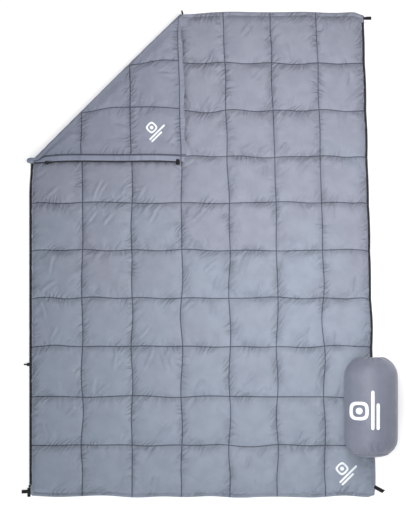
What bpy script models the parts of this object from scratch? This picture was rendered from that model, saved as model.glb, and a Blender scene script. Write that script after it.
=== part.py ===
"""A zip-up camp quilt lying flat with one corner turned back, and its packed stuff sack.

+Z is up, +Y runs to the head end and +X to the right-hand zip. The origin is on the floor,
at the middle of the quilt's underside. Everything is in metres.
"""

import math

import bmesh
import bpy
from mathutils import Matrix, Quaternion, Vector

# The quilted field: square cells, with a plain border all round.
CELL = 0.197
COLUMNS = 7
ROWS = 10
BORDER = 0.015
FIELD_X = COLUMNS * CELL / 2
FIELD_Y = ROWS * CELL / 2
EDGE_X = FIELD_X + BORDER
EDGE_Y = FIELD_Y + BORDER

# Its layers, from the floor up.
LOFT = 0.020
SEAM_HEIGHT = 0.0045
CROWN_INSET = 0.055
FABRIC = 0.0008
GAP = 0.0003
BATTING_DROP = 0.0013
HEM_HEIGHT = 0.005
CORNER_RADIUS = 0.010

# The two folds. The corner turns back along a diagonal, y = x + DIAGONAL, through the seam
# crossings. The left part folds over about a line just past the turned-back corner's edge.
DIAGONAL = FIELD_Y - (-FIELD_X + 3 * CELL)
FOLD_X = EDGE_Y - DIAGONAL + 0.0035
FOLD_HEIGHT = 0.034
CORNER_HEIGHT = LOFT + GAP / 2
FOLD_CLEARANCE = 0.0006

# Quilting thread, in the bottom of each seam.
THREAD_WIDTH = 0.0012
THREAD_HEIGHT = 0.0008
THREAD_LIFT = 0.0005

# Zip: distances from the middle of the quilt, and heights above the floor.
HEM_OUTER = FIELD_X + 0.0083
HEM_SLOT = FIELD_X + 0.0030
HEM_SLOT_LOW = 0.0017
HEM_SLOT_HIGH = 0.0035
TAPE_INNER = FIELD_X + 0.0033
TAPE_OUTER = FIELD_X + 0.0115
TAPE_LOW = 0.0020
TAPE_HIGH = 0.0032
TEETH_INNER = FIELD_X + 0.0118
TEETH_OUTER = EDGE_X
TEETH_LOW = 0.0014
TEETH_HIGH = 0.0038
ZIP_LEFT_TOP = 0.975
ZIP_RIGHT_TOP = 0.962
ZIP_LEFT_FOOT = -0.950
ZIP_RIGHT_FOOT = -0.800

# Zip sliders and their pulls.
SLIDER_LENGTH = 0.014
SLIDER_PLATE = 0.0010
SLIDER_INNER = FIELD_X + 0.0089
SLIDER_POST = FIELD_X + 0.0154
SLIDER_POST_WIDTH = 0.0016
SLIDER_LIP = 0.0024
SLIDER_OUTER = 2 * (SLIDER_POST + SLIDER_POST_WIDTH / 2) - SLIDER_INNER
SLIDER_MIDDLE = (SLIDER_INNER + SLIDER_OUTER) / 2
LOWER_SLIDER_Y = -0.4537
UPPER_SLIDER_Y = EDGE_Y - 3 * CELL - BORDER + 0.060
BAIL_WIRE = 0.0008
BAIL_RISE = 0.0033
BAIL_SPAN = 0.009
PULL_LENGTH = 0.021
PULL_WIDTH = 0.0064
PULL_THICKNESS = 0.0016
PULL_EYE = 0.0019
PULL_HOLE = 0.0012
PULL_DROOP = math.radians(15)

# Stuff sack: it lies on its side across the quilt's right-hand edge, mouth to the head end.
SACK_X = 0.7013
SACK_FOOT_Y = -0.8288
SACK_RADIUS = 0.109
SACK_LENGTH = 0.410
SACK_ROUND = 0.070
SACK_LIFT = 0.0085
SACK_STEPS = 24
BASE_ANGLE = math.radians(-60.5)
SIDE_ANGLE = math.radians(-57.5)
SHOULDER_ANGLE = math.radians(75)
PIPING_RADIUS = 0.0013

# Its mouth, with the drawcord and the cord lock; heights are along the sack from its foot.
MOUTH = 0.385
MOUTH_RADIUS = 0.0225
CHANNEL_INNER = 0.012
CHANNEL_OUTER = 0.0205
CHANNEL_HALF = 0.0045
CORD_RADIUS = 0.0015
CORD_LOOP = 0.0165
LOCK_RADIUS = 0.007
LOCK_BORE = 0.0052
LOCK_FOOT = 0.371
LOCK_FLOOR = 0.3735
LOCK_TOP = 0.392
LOCK_HOLE = 0.0018
BUTTON_RADIUS = 0.0049
BUTTON_FOOT = 0.3817
BUTTON_TOP = 0.3985
BUTTON_TRAVEL = 0.004
SPRING_RADIUS = 0.0036
SPRING_WIRE = 0.0004
SPRING_FOOT = 0.3744
SPRING_TOP = 0.3768
SPRING_TURNS = 3

PARTS_COLLECTION = "camp_quilt"
CUTTERS_COLLECTION = "cutters"
PIVOTS = {
    "ground": (0, 0, 0),
    "left_fold_axis": (FOLD_X, 0, FOLD_HEIGHT),
    "corner_fold_axis": (-FIELD_X, DIAGONAL - FIELD_X, CORNER_HEIGHT),
    "sack_axis": (SACK_X, SACK_FOOT_Y, SACK_LIFT + SACK_RADIUS),
}
FINISHES = {
    "shell_fabric": ((0.30, 0.33, 0.41), 0.55, 0.0),
    "lining_fabric": ((0.29, 0.32, 0.40), 0.60, 0.0),
    "batting": ((0.86, 0.86, 0.84), 0.95, 0.0),
    "thread": ((0.11, 0.12, 0.16), 0.80, 0.0),
    "hem_fabric": ((0.22, 0.24, 0.30), 0.65, 0.0),
    "zip_tape": ((0.012, 0.013, 0.018), 0.85, 0.0),
    "zip_teeth": ((0.008, 0.009, 0.012), 0.40, 0.0),
    "slider_metal": ((0.02, 0.02, 0.024), 0.35, 0.8),
    "webbing": ((0.010, 0.010, 0.012), 0.90, 0.0),
    "sack_fabric": ((0.26, 0.28, 0.35), 0.55, 0.0),
    "cord": ((0.015, 0.015, 0.018), 0.85, 0.0),
    "lock_plastic": ((0.015, 0.015, 0.017), 0.45, 0.0),
    "spring_steel": ((0.55, 0.55, 0.57), 0.30, 1.0),
}


def clear_scene():
    for old in list(bpy.data.objects):
        bpy.data.objects.remove(old)


def collection(name):
    made = bpy.data.collections.new(name)
    bpy.context.scene.collection.children.link(made)
    return made


def finish(name):
    """The Principled material of one finish, made once."""
    made = bpy.data.materials.get(name)
    if made is None:
        colour, roughness, metallic = FINISHES[name]
        made = bpy.data.materials.new(name)
        made.use_nodes = True
        shader = made.node_tree.nodes["Principled BSDF"]
        shader.inputs["Base Color"].default_value = (*colour, 1.0)
        shader.inputs["Roughness"].default_value = roughness
        shader.inputs["Metallic"].default_value = metallic
    return made


def add_pivot(name, parent=None):
    """An empty on a joint's axis; its pieces are placed in the flat quilt's own coordinates."""
    empty = bpy.data.objects.new(name, None)
    bpy.data.collections[PARTS_COLLECTION].objects.link(empty)
    empty.location = Vector(PIVOTS[name]) - Vector(PIVOTS[parent or "ground"])
    empty.parent = bpy.data.objects.get(parent or "")
    return empty


def add_part(part, finish_name, pivot="ground", at=(0, 0, 0)):
    """Links one piece, with its finish, at a point of the flat quilt."""
    bpy.data.collections[PARTS_COLLECTION].objects.link(part)
    part.data.materials.append(finish(finish_name))
    part.parent = bpy.data.objects.get(pivot)
    part.location = Vector(at) - Vector(PIVOTS[pivot])
    return part


def add_cutter(cutter, at, pivot="ground"):
    bpy.data.collections[CUTTERS_COLLECTION].objects.link(cutter)
    cutter.parent = bpy.data.objects.get(pivot)
    cutter.location = Vector(at) - Vector(PIVOTS[pivot])
    cutter.hide_render = True
    cutter.display_type = "WIRE"
    return cutter


def join(part, other, operation):
    modifier = part.modifiers.new(operation.lower(), "BOOLEAN")
    modifier.operation = operation
    modifier.solver = "EXACT"
    modifier.object = other


def from_bmesh(name, bm, smooth=False):
    mesh = bpy.data.meshes.new(name)
    bm.to_mesh(mesh)
    bm.free()
    if smooth:
        mesh.shade_smooth()
        mesh.set_sharp_from_angle(angle=math.radians(40))
    return bpy.data.objects.new(name, mesh)


def box(name, low, high):
    """A box between two corners, with its origin at its middle. Returns it and that middle."""
    size = Vector(high) - Vector(low)
    bm = bmesh.new()
    bmesh.ops.create_cube(bm, size=1.0, matrix=Matrix.Diagonal((*size, 1.0)))
    return from_bmesh(name, bm), (Vector(high) + Vector(low)) / 2


def outline(name, loops, half_depth):
    """A flat shape in its own XY plane, with depth to both sides. A second loop is a hole."""
    curve = bpy.data.curves.new(name, "CURVE")
    curve.dimensions = "2D"
    curve.fill_mode = "BOTH"
    curve.extrude = half_depth
    for points in loops:
        spline = curve.splines.new("POLY")
        spline.points.add(len(points) - 1)
        for point, (x, y) in zip(spline.points, points):
            point.co = (x, y, 0.0, 1.0)
        spline.use_cyclic_u = True
    return bpy.data.objects.new(name, curve)


def extrusion_along_y(name, profile, length):
    """A profile of (x, z) points, extruded along Y by length."""
    part = outline(name, [profile], length / 2)
    part.rotation_euler = (math.radians(90), 0, 0)
    return part


def wire(name, points, radius, closed=False):
    curve = bpy.data.curves.new(name, "CURVE")
    curve.dimensions = "3D"
    curve.bevel_depth = radius
    curve.bevel_resolution = 2
    curve.use_fill_caps = True
    spline = curve.splines.new("POLY")
    spline.points.add(len(points) - 1)
    for point, at in zip(spline.points, points):
        point.co = (*at, 1.0)
    spline.use_cyclic_u = closed
    return bpy.data.objects.new(name, curve)


def turned(name, profile, thickness=0.0, steps=SACK_STEPS):
    """A profile of (radius, height) points turned about Z; with a thickness it is a shell."""
    bm = bmesh.new()
    rim = [bm.verts.new((radius, 0.0, height)) for radius, height in profile]
    for first, second in zip(rim, rim[1:]):
        bm.edges.new((first, second))
    part = from_bmesh(name, bm)
    screw = part.modifiers.new("turn", "SCREW")
    screw.steps = steps
    screw.render_steps = steps
    screw.use_merge_vertices = True
    screw.merge_threshold = 0.00005
    screw.use_smooth_shade = True
    if thickness:
        shell = part.modifiers.new("cloth", "SOLIDIFY")
        shell.thickness = thickness
        shell.offset = -1.0
    return part


def arc(centre, radius, first, last, steps):
    """Points on an arc, from the first angle to the last."""
    angles = [first + (last - first) * i / steps for i in range(steps + 1)]
    return [(centre[0] + radius * math.cos(a), centre[1] + radius * math.sin(a)) for a in angles]


# The quilted layers.


def cell_grid():
    """The flat field, one face for each cell."""
    bm = bmesh.new()
    size = Matrix.Diagonal((2 * FIELD_X, 2 * FIELD_Y, 1.0, 1.0))
    bmesh.ops.create_grid(bm, x_segments=COLUMNS, y_segments=ROWS, size=0.5, matrix=size)
    return bm


def cut_away(bm, point, outward):
    """Removes what lies past a plane, on the side that outward points to."""
    everything = bm.verts[:] + bm.edges[:] + bm.faces[:]
    bmesh.ops.bisect_plane(
        bm, geom=everything, dist=1e-6, plane_co=point, plane_no=outward, clear_outer=True
    )


def keep_right(bm):
    cut_away(bm, (FOLD_X + FOLD_CLEARANCE, 0, 0), (-1, 0, 0))


def keep_left(bm):
    across = Vector((-1, 1, 0)).normalized()
    on_fold = Vector((-FIELD_X, DIAGONAL - FIELD_X, 0))
    cut_away(bm, (FOLD_X - FOLD_CLEARANCE, 0, 0), (1, 0, 0))
    cut_away(bm, on_fold - across * FOLD_CLEARANCE, across)


def keep_corner(bm):
    across = Vector((-1, 1, 0)).normalized()
    on_fold = Vector((-FIELD_X, DIAGONAL - FIELD_X, 0))
    cut_away(bm, on_fold + across * FOLD_CLEARANCE, -across)


def puffed_surface(drop, keep):
    """The cells' upper surface, lowered by drop: low along every seam and crowned between."""
    bm = cell_grid()
    cells = bm.faces[:]
    bmesh.ops.inset_individual(bm, faces=cells, thickness=CROWN_INSET, use_even_offset=True)
    crowns = {vert for cell in cells for vert in cell.verts}
    for vert in bm.verts:
        vert.co.z = (LOFT if vert in crowns else SEAM_HEIGHT) - drop
    keep(bm)
    bmesh.ops.recalc_face_normals(bm, faces=bm.faces[:])
    if sum(face.normal.z for face in bm.faces) < 0:
        bmesh.ops.reverse_faces(bm, faces=bm.faces[:])
    return bm


def thicken(bm, bottom):
    """Closes an open surface down to a flat bottom."""
    made = bmesh.ops.extrude_face_region(bm, geom=bm.faces[:])
    for item in made["geom"]:
        if isinstance(item, bmesh.types.BMVert):
            item.co.z = bottom
    bmesh.ops.recalc_face_normals(bm, faces=bm.faces[:])
    flat = [face for face in bm.faces if all(abs(v.co.z - bottom) < 1e-7 for v in face.verts)]
    bmesh.ops.dissolve_faces(bm, faces=flat)


def shell(name, keep):
    part = from_bmesh(name, puffed_surface(0.0, keep))
    cloth = part.modifiers.new("cloth", "SOLIDIFY")
    cloth.thickness = FABRIC
    cloth.offset = -1.0
    return part


def batting(name, keep):
    bm = puffed_surface(BATTING_DROP, keep)
    thicken(bm, FABRIC + GAP)
    return from_bmesh(name, bm)


def lining(name, keep):
    bm = cell_grid()
    for vert in bm.verts:
        vert.co.z = FABRIC
    keep(bm)
    bmesh.ops.dissolve_faces(bm, faces=bm.faces[:])
    thicken(bm, 0.0)
    return from_bmesh(name, bm)


def quilting(name, keep):
    """The lattice of stitch lines, one thread wide, lying in the seams."""
    bm = cell_grid()
    cells = bm.faces[:]
    bmesh.ops.inset_individual(bm, faces=cells, thickness=THREAD_WIDTH / 2, use_even_offset=True)
    bmesh.ops.delete(bm, geom=cells, context="FACES_ONLY")
    low = SEAM_HEIGHT + THREAD_LIFT
    for vert in bm.verts:
        vert.co.z = low + THREAD_HEIGHT
    keep(bm)
    made = bmesh.ops.extrude_face_region(bm, geom=bm.faces[:])
    for item in made["geom"]:
        if isinstance(item, bmesh.types.BMVert):
            item.co.z = low
    bmesh.ops.recalc_face_normals(bm, faces=bm.faces[:])
    return from_bmesh(name, bm)


def add_panel(prefix, keep, pivot):
    add_part(shell(f"{prefix}_top_shell", keep), "shell_fabric", pivot)
    add_part(batting(f"{prefix}_insulation", keep), "batting", pivot)
    add_part(lining(f"{prefix}_lining", keep), "lining_fabric", pivot)
    add_part(quilting(f"{prefix}_quilting_thread", keep), "thread", pivot)


# The border.


def add_end_hem(name, start, end, side, pivot):
    """A hem along the head (side 1) or foot (side -1), with round corners at the quilt's own."""
    inner = FIELD_Y + GAP
    left = arc((start + CORNER_RADIUS, EDGE_Y - CORNER_RADIUS), CORNER_RADIUS, math.pi, math.pi / 2, 4)
    right = arc((end - CORNER_RADIUS, EDGE_Y - CORNER_RADIUS), CORNER_RADIUS, math.pi / 2, 0, 4)
    if start > -FIELD_X - GAP:
        left = [(start, EDGE_Y)]
    if end < FIELD_X:
        right = [(end, EDGE_Y)]
    points = [(start, inner)] + left + right + [(end, inner)]
    hem = outline(name, [[(x, side * y) for x, y in points]], HEM_HEIGHT / 2)
    add_part(hem, "hem_fabric", pivot, (0, 0, HEM_HEIGHT / 2))


def add_side_hem(name, start, end, side, pivot):
    """A folded hem along a long edge, with a slot that holds the zip tape."""
    inner = FIELD_X + GAP
    profile = [
        (inner, 0),
        (HEM_OUTER, 0),
        (HEM_OUTER, HEM_SLOT_LOW),
        (HEM_SLOT, HEM_SLOT_LOW),
        (HEM_SLOT, HEM_SLOT_HIGH),
        (HEM_OUTER, HEM_SLOT_HIGH),
        (HEM_OUTER, HEM_HEIGHT),
        (inner, HEM_HEIGHT),
    ]
    hem = extrusion_along_y(name, [(side * x, z) for x, z in profile], end - start)
    add_part(hem, "hem_fabric", pivot, (0, (start + end) / 2, 0))


def add_block(name, finish_name, low, high, pivot, bevel=0.0):
    part, middle = box(name, low, high)
    if bevel:
        rounding = part.modifiers.new("edges", "BEVEL")
        rounding.width = bevel
        rounding.segments = 1
    return add_part(part, finish_name, pivot, middle)


def add_side_block(name, finish_name, inner, outer, low, high, start, end, side, pivot, bevel=0.0):
    """A block along a long edge, between two distances from the middle of the quilt."""
    near, far = sorted((side * inner, side * outer))
    return add_block(name, finish_name, (near, start, low), (far, end, high), pivot, bevel)


def add_zip_run(prefix, start, end, side, pivot):
    """One stretch of half a zip: its woven tape, and the teeth along the tape's edge."""
    tape = (TAPE_INNER, TAPE_OUTER, TAPE_LOW, TAPE_HIGH)
    teeth = (TEETH_INNER, TEETH_OUTER, TEETH_LOW, TEETH_HIGH)
    add_side_block(f"{prefix}_zip_tape", "zip_tape", *tape, start, end, side, pivot)
    add_side_block(f"{prefix}_zip_teeth", "zip_teeth", *teeth, start, end, side, pivot, 0.0005)


def add_slider(name, y, side, pivot):
    """Two plates joined by a post, with lips that hold the teeth; one channel stands empty."""
    low = TEETH_LOW - 0.0004
    high = TEETH_HIGH + 0.0004
    slot_low = TAPE_LOW - 0.0004
    slot_high = TAPE_HIGH + 0.0004
    post = (SLIDER_POST, SLIDER_POST + SLIDER_POST_WIDTH)
    lips = (SLIDER_INNER + SLIDER_LIP, SLIDER_OUTER - SLIDER_LIP)
    profile = [
        (SLIDER_INNER, low - SLIDER_PLATE),
        (SLIDER_OUTER, low - SLIDER_PLATE),
        (SLIDER_OUTER, slot_low),
        (lips[1], slot_low),
        (lips[1], low),
        (post[1], low),
        (post[1], high),
        (lips[1], high),
        (lips[1], slot_high),
        (SLIDER_OUTER, slot_high),
        (SLIDER_OUTER, high + SLIDER_PLATE),
        (SLIDER_INNER, high + SLIDER_PLATE),
        (SLIDER_INNER, slot_high),
        (lips[0], slot_high),
        (lips[0], high),
        (post[0], high),
        (post[0], low),
        (lips[0], low),
        (lips[0], slot_low),
        (SLIDER_INNER, slot_low),
    ]
    body = extrusion_along_y(name, [(side * x, z) for x, z in profile], SLIDER_LENGTH)
    add_part(body, "slider_metal", pivot, (0, y, 0))
    return low - SLIDER_PLATE, high + SLIDER_PLATE


def add_bail(name, middle, along, up, pivot):
    """The wire bridge that a pull hangs on; its crossbar is over the slider's plate."""
    along = Vector(along) * BAIL_SPAN / 2
    foot = -Vector(up) * (BAIL_RISE - GAP - BAIL_WIRE)
    points = [-along + foot, -along * 0.98, along * 0.98, along + foot]
    add_part(wire(name, points, BAIL_WIRE), "slider_metal", pivot, middle)


def pull_outline():
    """A flat tab from its eye outward, and the eye's hole."""
    half = PULL_THICKNESS / 2
    opening = math.asin(half / PULL_EYE)
    eye = arc((0, 0), PULL_EYE, opening, 2 * math.pi - opening, 12)
    tip = arc((PULL_LENGTH - half, 0), half, -math.pi / 2, math.pi / 2, 4)
    hole = arc((0, 0), PULL_HOLE, 0, 2 * math.pi * 11 / 12, 11)
    return [eye + tip, hole]


def add_left_zip_details():
    """What the left zip carries at the foot end, with its lower slider."""
    box_end = ZIP_LEFT_FOOT - GAP
    add_side_block(
        "left_zip_retainer_box", "slider_metal", SLIDER_INNER, SLIDER_INNER + 0.008,
        0.0004, 0.0052, box_end - 0.012, box_end, -1, "left_fold_axis", 0.0006,
    )
    add_side_block(
        "foot_zip_garage", "webbing", HEM_OUTER + 0.0006, EDGE_X + 0.007,
        0.0004, 0.0046, -EDGE_Y, box_end - 0.0126, -1, "left_fold_axis", 0.001,
    )
    high = add_slider("lower_slider_body", LOWER_SLIDER_Y, -1, "left_fold_axis")[1]
    middle = Vector((-SLIDER_MIDDLE, LOWER_SLIDER_Y, high + BAIL_RISE))
    add_bail("lower_slider_bail", middle, (0, 1, 0), (0, 0, 1), "left_fold_axis")
    pull = outline("lower_slider_pull", pull_outline(), PULL_WIDTH / 2)
    pull.rotation_euler = (math.radians(90), PULL_DROOP, math.radians(180))
    add_part(pull, "slider_metal", "left_fold_axis", middle)


def add_corner_zip_details():
    """What the left zip carries on the turned-back corner, with its upper slider."""
    add_side_block(
        "corner_zip_top_stop", "slider_metal", TEETH_INNER - 0.0006, TEETH_OUTER,
        0.0010, 0.0042, ZIP_LEFT_TOP + GAP, ZIP_LEFT_TOP + 0.0035, -1, "corner_fold_axis", 0.0004,
    )
    add_block(
        "corner_zip_garage", "webbing", (-EDGE_X - 0.010, FIELD_Y + GAP, 0.0004),
        (-FIELD_X - GAP, EDGE_Y + 0.0015, 0.0046), "corner_fold_axis", 0.001,
    )
    low = add_slider("upper_slider_body", UPPER_SLIDER_Y, -1, "corner_fold_axis")[0]
    middle = Vector((-SLIDER_MIDDLE, UPPER_SLIDER_Y, low - BAIL_RISE))
    add_bail("upper_slider_bail", middle, (1, 0, 0), (0, 0, -1), "corner_fold_axis")
    pull = outline("upper_slider_pull", pull_outline(), PULL_WIDTH / 2)
    pull.rotation_euler = (math.radians(90), 0, math.radians(90))
    add_part(pull, "slider_metal", "corner_fold_axis", middle)


def add_strap(name, start, end, width, low, high, pivot="ground"):
    """A webbing strap lying flat from start to end, square where sewn and round at its tip."""
    way = Vector(end) - Vector(start)
    half = width / 2
    tip = arc((way.length - half, 0), half, -math.pi / 2, math.pi / 2, 6)
    strap = outline(name, [[(0, -half)] + tip + [(0, half)]], (high - low) / 2)
    strap.rotation_euler = (0, 0, math.atan2(way.y, way.x))
    add_part(strap, "webbing", pivot, (start[0], start[1], (low + high) / 2))


def teardrop(length, width, inset):
    """A teardrop with its point at x = inset, shrunk by inset all round."""
    radius = width / 2
    centre = length - radius
    lean = math.asin(radius / centre)
    bow = arc((centre, 0), radius - inset, -math.pi / 2 - lean, math.pi / 2 + lean, 10)
    return [(inset / math.sin(lean), 0)] + bow


def add_teardrop_loop(name, start, length, width, strip, low, high):
    loops = [teardrop(length, width, 0.0), teardrop(length, width, strip)]
    loop = outline(name, loops, (high - low) / 2)
    add_part(loop, "webbing", "ground", (start[0], start[1], (low + high) / 2))


# The stuff sack, about its own axis: local Z runs from its foot to its mouth.


def add_sack_part(part, finish_name, height=0.0):
    part.rotation_euler = (math.radians(-90), 0, 0)
    at = Vector(PIVOTS["sack_axis"]) + Vector((0, height, 0))
    return add_part(part, finish_name, "sack_axis", at)


def foot_round(first, last, steps, inset=0.0):
    centre = (SACK_RADIUS - SACK_ROUND, SACK_ROUND)
    return arc(centre, SACK_ROUND - inset, first, last, steps)


def head_round(first, last, steps, inset=0.0):
    centre = (SACK_RADIUS - SACK_ROUND, SACK_LENGTH - SACK_ROUND)
    return arc(centre, SACK_ROUND - inset, first, last, steps)


def add_sack_shell():
    mouth = [(MOUTH_RADIUS, MOUTH + 0.003), (MOUTH_RADIUS + 0.003, MOUTH + 0.012), (0.036, 0.4035)]
    side = mouth + head_round(SHOULDER_ANGLE, 0, 4) + foot_round(0, SIDE_ANGLE, 3)
    add_sack_part(turned("sack_side_panel", side, FABRIC), "sack_fabric")
    base = foot_round(BASE_ANGLE, -math.pi / 2, 2) + [(0.0, 0.0)]
    add_sack_part(turned("sack_base_panel", base, FABRIC), "sack_fabric")
    seam = foot_round((BASE_ANGLE + SIDE_ANGLE) / 2, 0, 1)[0]
    ring = [(seam[0] * math.cos(a), seam[0] * math.sin(a), seam[1]) for a in circle(32)]
    add_sack_part(wire("sack_base_piping", ring, PIPING_RADIUS, closed=True), "sack_fabric")


def circle(count):
    return [2 * math.pi * i / count for i in range(count)]


def add_sack_filling():
    inset = FABRIC + 0.0010
    head = head_round(SHOULDER_ANGLE, 0, 3, inset)
    foot = foot_round(0, -math.pi / 2, 4, inset)
    profile = [(0.0, LOCK_FOOT - 0.010), (0.025, LOCK_FOOT - 0.006)] + head + foot + [(0.0, inset)]
    add_sack_part(turned("packed_filling", profile), "batting")


def add_drawcord():
    channel = [
        (CHANNEL_INNER, MOUTH + CHANNEL_HALF),
        (CHANNEL_OUTER, MOUTH + CHANNEL_HALF),
        (CHANNEL_OUTER, MOUTH - CHANNEL_HALF),
        (CHANNEL_INNER, MOUTH - CHANNEL_HALF),
    ]
    add_sack_part(turned("drawcord_channel", channel, FABRIC), "sack_fabric")
    profile = arc((CORD_LOOP, MOUTH), CORD_RADIUS, 2 * math.pi, 0, 8)
    cord = turned("drawcord", profile)
    bm = bmesh.new()
    across = Matrix.Rotation(math.radians(90), 4, "Y")
    bmesh.ops.create_cone(
        bm, cap_ends=True, segments=10, radius1=CORD_RADIUS * 0.93, radius2=CORD_RADIUS * 0.93,
        depth=2 * CORD_LOOP, matrix=across,
    )
    through = add_cutter(from_bmesh("drawcord_ends", bm), sack_point(MOUTH), "sack_axis")
    through.rotation_euler = (math.radians(-90), 0, 0)
    join(cord, through, "UNION")
    add_sack_part(cord, "cord")


def sack_point(height):
    return Vector(PIVOTS["sack_axis"]) + Vector((0, height, 0))


def slot_cutter(name, half_width, low, high, reach):
    """A slot across the cord lock, for the cord to pass through."""
    part, middle = box(name, (-reach, -half_width, low), (reach, half_width, high))
    cutter = add_cutter(part, sack_point(middle.z), "sack_axis")
    cutter.rotation_euler = (math.radians(-90), 0, 0)
    return cutter


def add_cord_lock():
    body_profile = [
        (LOCK_BORE, LOCK_FLOOR),
        (LOCK_BORE, LOCK_TOP),
        (LOCK_RADIUS, LOCK_TOP),
        (LOCK_RADIUS, LOCK_FOOT),
        (0.0, LOCK_FOOT),
    ]
    body = turned("cord_lock_body", [(0.0, LOCK_FLOOR)] + body_profile, steps=20)
    hole = slot_cutter("lock_hole", LOCK_HOLE, MOUTH - LOCK_HOLE, MOUTH + LOCK_HOLE, 0.012)
    join(body, hole, "DIFFERENCE")
    add_sack_part(body, "lock_plastic")
    button_profile = [
        (0.0, BUTTON_TOP),
        (BUTTON_RADIUS * 0.8, BUTTON_TOP),
        (BUTTON_RADIUS, BUTTON_TOP - 0.001),
        (BUTTON_RADIUS, BUTTON_FOOT),
        (0.0, BUTTON_FOOT),
    ]
    button = turned("cord_lock_button", button_profile, steps=20)
    high = MOUTH + LOCK_HOLE + BUTTON_TRAVEL
    slot = slot_cutter("button_slot", LOCK_HOLE, MOUTH - LOCK_HOLE, high, 0.009)
    join(button, slot, "DIFFERENCE")
    add_sack_part(button, "lock_plastic")


def add_lock_spring():
    count = 12 * SPRING_TURNS
    points = []
    for i in range(count + 1):
        angle = 2 * math.pi * SPRING_TURNS * i / count
        height = SPRING_FOOT + (SPRING_TOP - SPRING_FOOT) * i / count
        points.append((SPRING_RADIUS * math.cos(angle), SPRING_RADIUS * math.sin(angle), height))
    add_sack_part(wire("cord_lock_spring", points, SPRING_WIRE), "spring_steel")


def add_quilt():
    add_pivot("left_fold_axis")
    corner = add_pivot("corner_fold_axis", "left_fold_axis")
    add_panel("right", keep_right, "ground")
    add_panel("left", keep_left, "left_fold_axis")
    add_panel("corner", keep_corner, "corner_fold_axis")
    at_right = FOLD_X + FOLD_CLEARANCE
    at_left = FOLD_X - FOLD_CLEARANCE
    corner_foot = DIAGONAL - FIELD_X
    add_end_hem("right_head_hem", at_right, EDGE_X, 1, "ground")
    add_end_hem("right_foot_hem", at_right, EDGE_X, -1, "ground")
    add_end_hem("left_foot_hem", -HEM_OUTER, at_left, -1, "left_fold_axis")
    add_end_hem("corner_head_hem", -FIELD_X, FIELD_Y - DIAGONAL - 0.001, 1, "corner_fold_axis")
    add_side_hem("right_side_hem", -FIELD_Y, FIELD_Y, 1, "ground")
    add_side_hem("left_side_hem", -FIELD_Y, corner_foot - BORDER - 0.001, -1, "left_fold_axis")
    add_side_hem("corner_side_hem", corner_foot + 0.001, FIELD_Y, -1, "corner_fold_axis")
    add_zip_run("right", ZIP_RIGHT_FOOT, ZIP_RIGHT_TOP, 1, "ground")
    add_zip_run("left", ZIP_LEFT_FOOT, corner_foot - BORDER - 0.001, -1, "left_fold_axis")
    add_zip_run("corner", corner_foot + 0.001, ZIP_LEFT_TOP, -1, "corner_fold_axis")
    add_side_block(
        "right_zip_top_stop", "slider_metal", TEETH_INNER - 0.0006, TEETH_OUTER,
        0.0010, 0.0042, ZIP_RIGHT_TOP + GAP, ZIP_RIGHT_TOP + 0.0035, 1, "ground", 0.0004,
    )
    add_side_block(
        "right_zip_insertion_pin", "slider_metal", TEETH_INNER, TEETH_OUTER,
        0.0014, 0.0038, ZIP_RIGHT_FOOT - 0.014, ZIP_RIGHT_FOOT - GAP, 1, "ground", 0.0008,
    )
    add_left_zip_details()
    add_corner_zip_details()
    corner.rotation_mode = "QUATERNION"
    corner.rotation_quaternion = Quaternion(Vector((1, 1, 0)).normalized(), math.pi)


def add_loops():
    add_teardrop_loop("head_right_loop", (EDGE_X + GAP, 0.972), 0.029, 0.017, 0.0018, 0.0005, 0.0065)
    add_strap("foot_right_loop", (EDGE_X + 0.004, -0.966), (0.741, -0.994), 0.010, 0.0005, 0.0030)
    garage_edge = -EDGE_X - 0.007 - GAP
    ends = ((garage_edge, -0.9836), (garage_edge - 0.024, -0.9836))
    add_strap("foot_left_loop", *ends, 0.008, 0.0005, 0.0030, "left_fold_axis")
    over_hem = HEM_HEIGHT + GAP
    add_strap("head_fold_loop", (-0.070, 0.986), (-0.074, 1.0075), 0.0066, over_hem, over_hem + 0.0025)


def add_sack():
    add_pivot("sack_axis")
    add_sack_shell()
    add_sack_filling()
    add_drawcord()
    add_cord_lock()
    add_lock_spring()


def main():
    clear_scene()
    collection(PARTS_COLLECTION)
    collection(CUTTERS_COLLECTION)
    add_quilt()
    add_loops()
    add_sack()


main()
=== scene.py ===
"""Visual model of the camp quilt: simulated quilted cloth over the shared frame.

Everything is in metres. Most pieces are made flat, in the unfolded quilt's own coordinates,
and then laid: a small shared warp gives the unevenness of real cloth, and the turned-back
corner is mapped over its diagonal fold.
"""

import math

import bmesh
import bpy
import numpy as np
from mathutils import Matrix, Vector
from mathutils.bvhtree import BVHTree


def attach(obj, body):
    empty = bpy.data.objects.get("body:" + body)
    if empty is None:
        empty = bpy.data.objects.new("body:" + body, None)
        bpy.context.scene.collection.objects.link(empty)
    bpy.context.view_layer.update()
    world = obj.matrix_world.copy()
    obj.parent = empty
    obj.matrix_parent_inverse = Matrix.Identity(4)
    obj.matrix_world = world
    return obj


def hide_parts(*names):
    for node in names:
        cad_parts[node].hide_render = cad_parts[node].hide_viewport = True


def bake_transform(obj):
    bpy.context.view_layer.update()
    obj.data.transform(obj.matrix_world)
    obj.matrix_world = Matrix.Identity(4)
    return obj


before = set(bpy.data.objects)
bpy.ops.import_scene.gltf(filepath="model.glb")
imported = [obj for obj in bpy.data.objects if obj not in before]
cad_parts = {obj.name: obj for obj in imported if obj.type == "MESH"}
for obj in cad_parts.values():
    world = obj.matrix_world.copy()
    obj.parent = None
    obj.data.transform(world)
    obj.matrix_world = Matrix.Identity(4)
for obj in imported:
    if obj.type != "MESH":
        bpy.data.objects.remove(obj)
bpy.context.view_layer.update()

# The quilt's own sizes, as in the frame.
CELL = 0.197
COLUMNS = 7
ROWS = 10
CORNER_CELLS = 3
BORDER = 0.015
FIELD_X = COLUMNS * CELL / 2
FIELD_Y = ROWS * CELL / 2
EDGE_X = FIELD_X + BORDER
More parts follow.
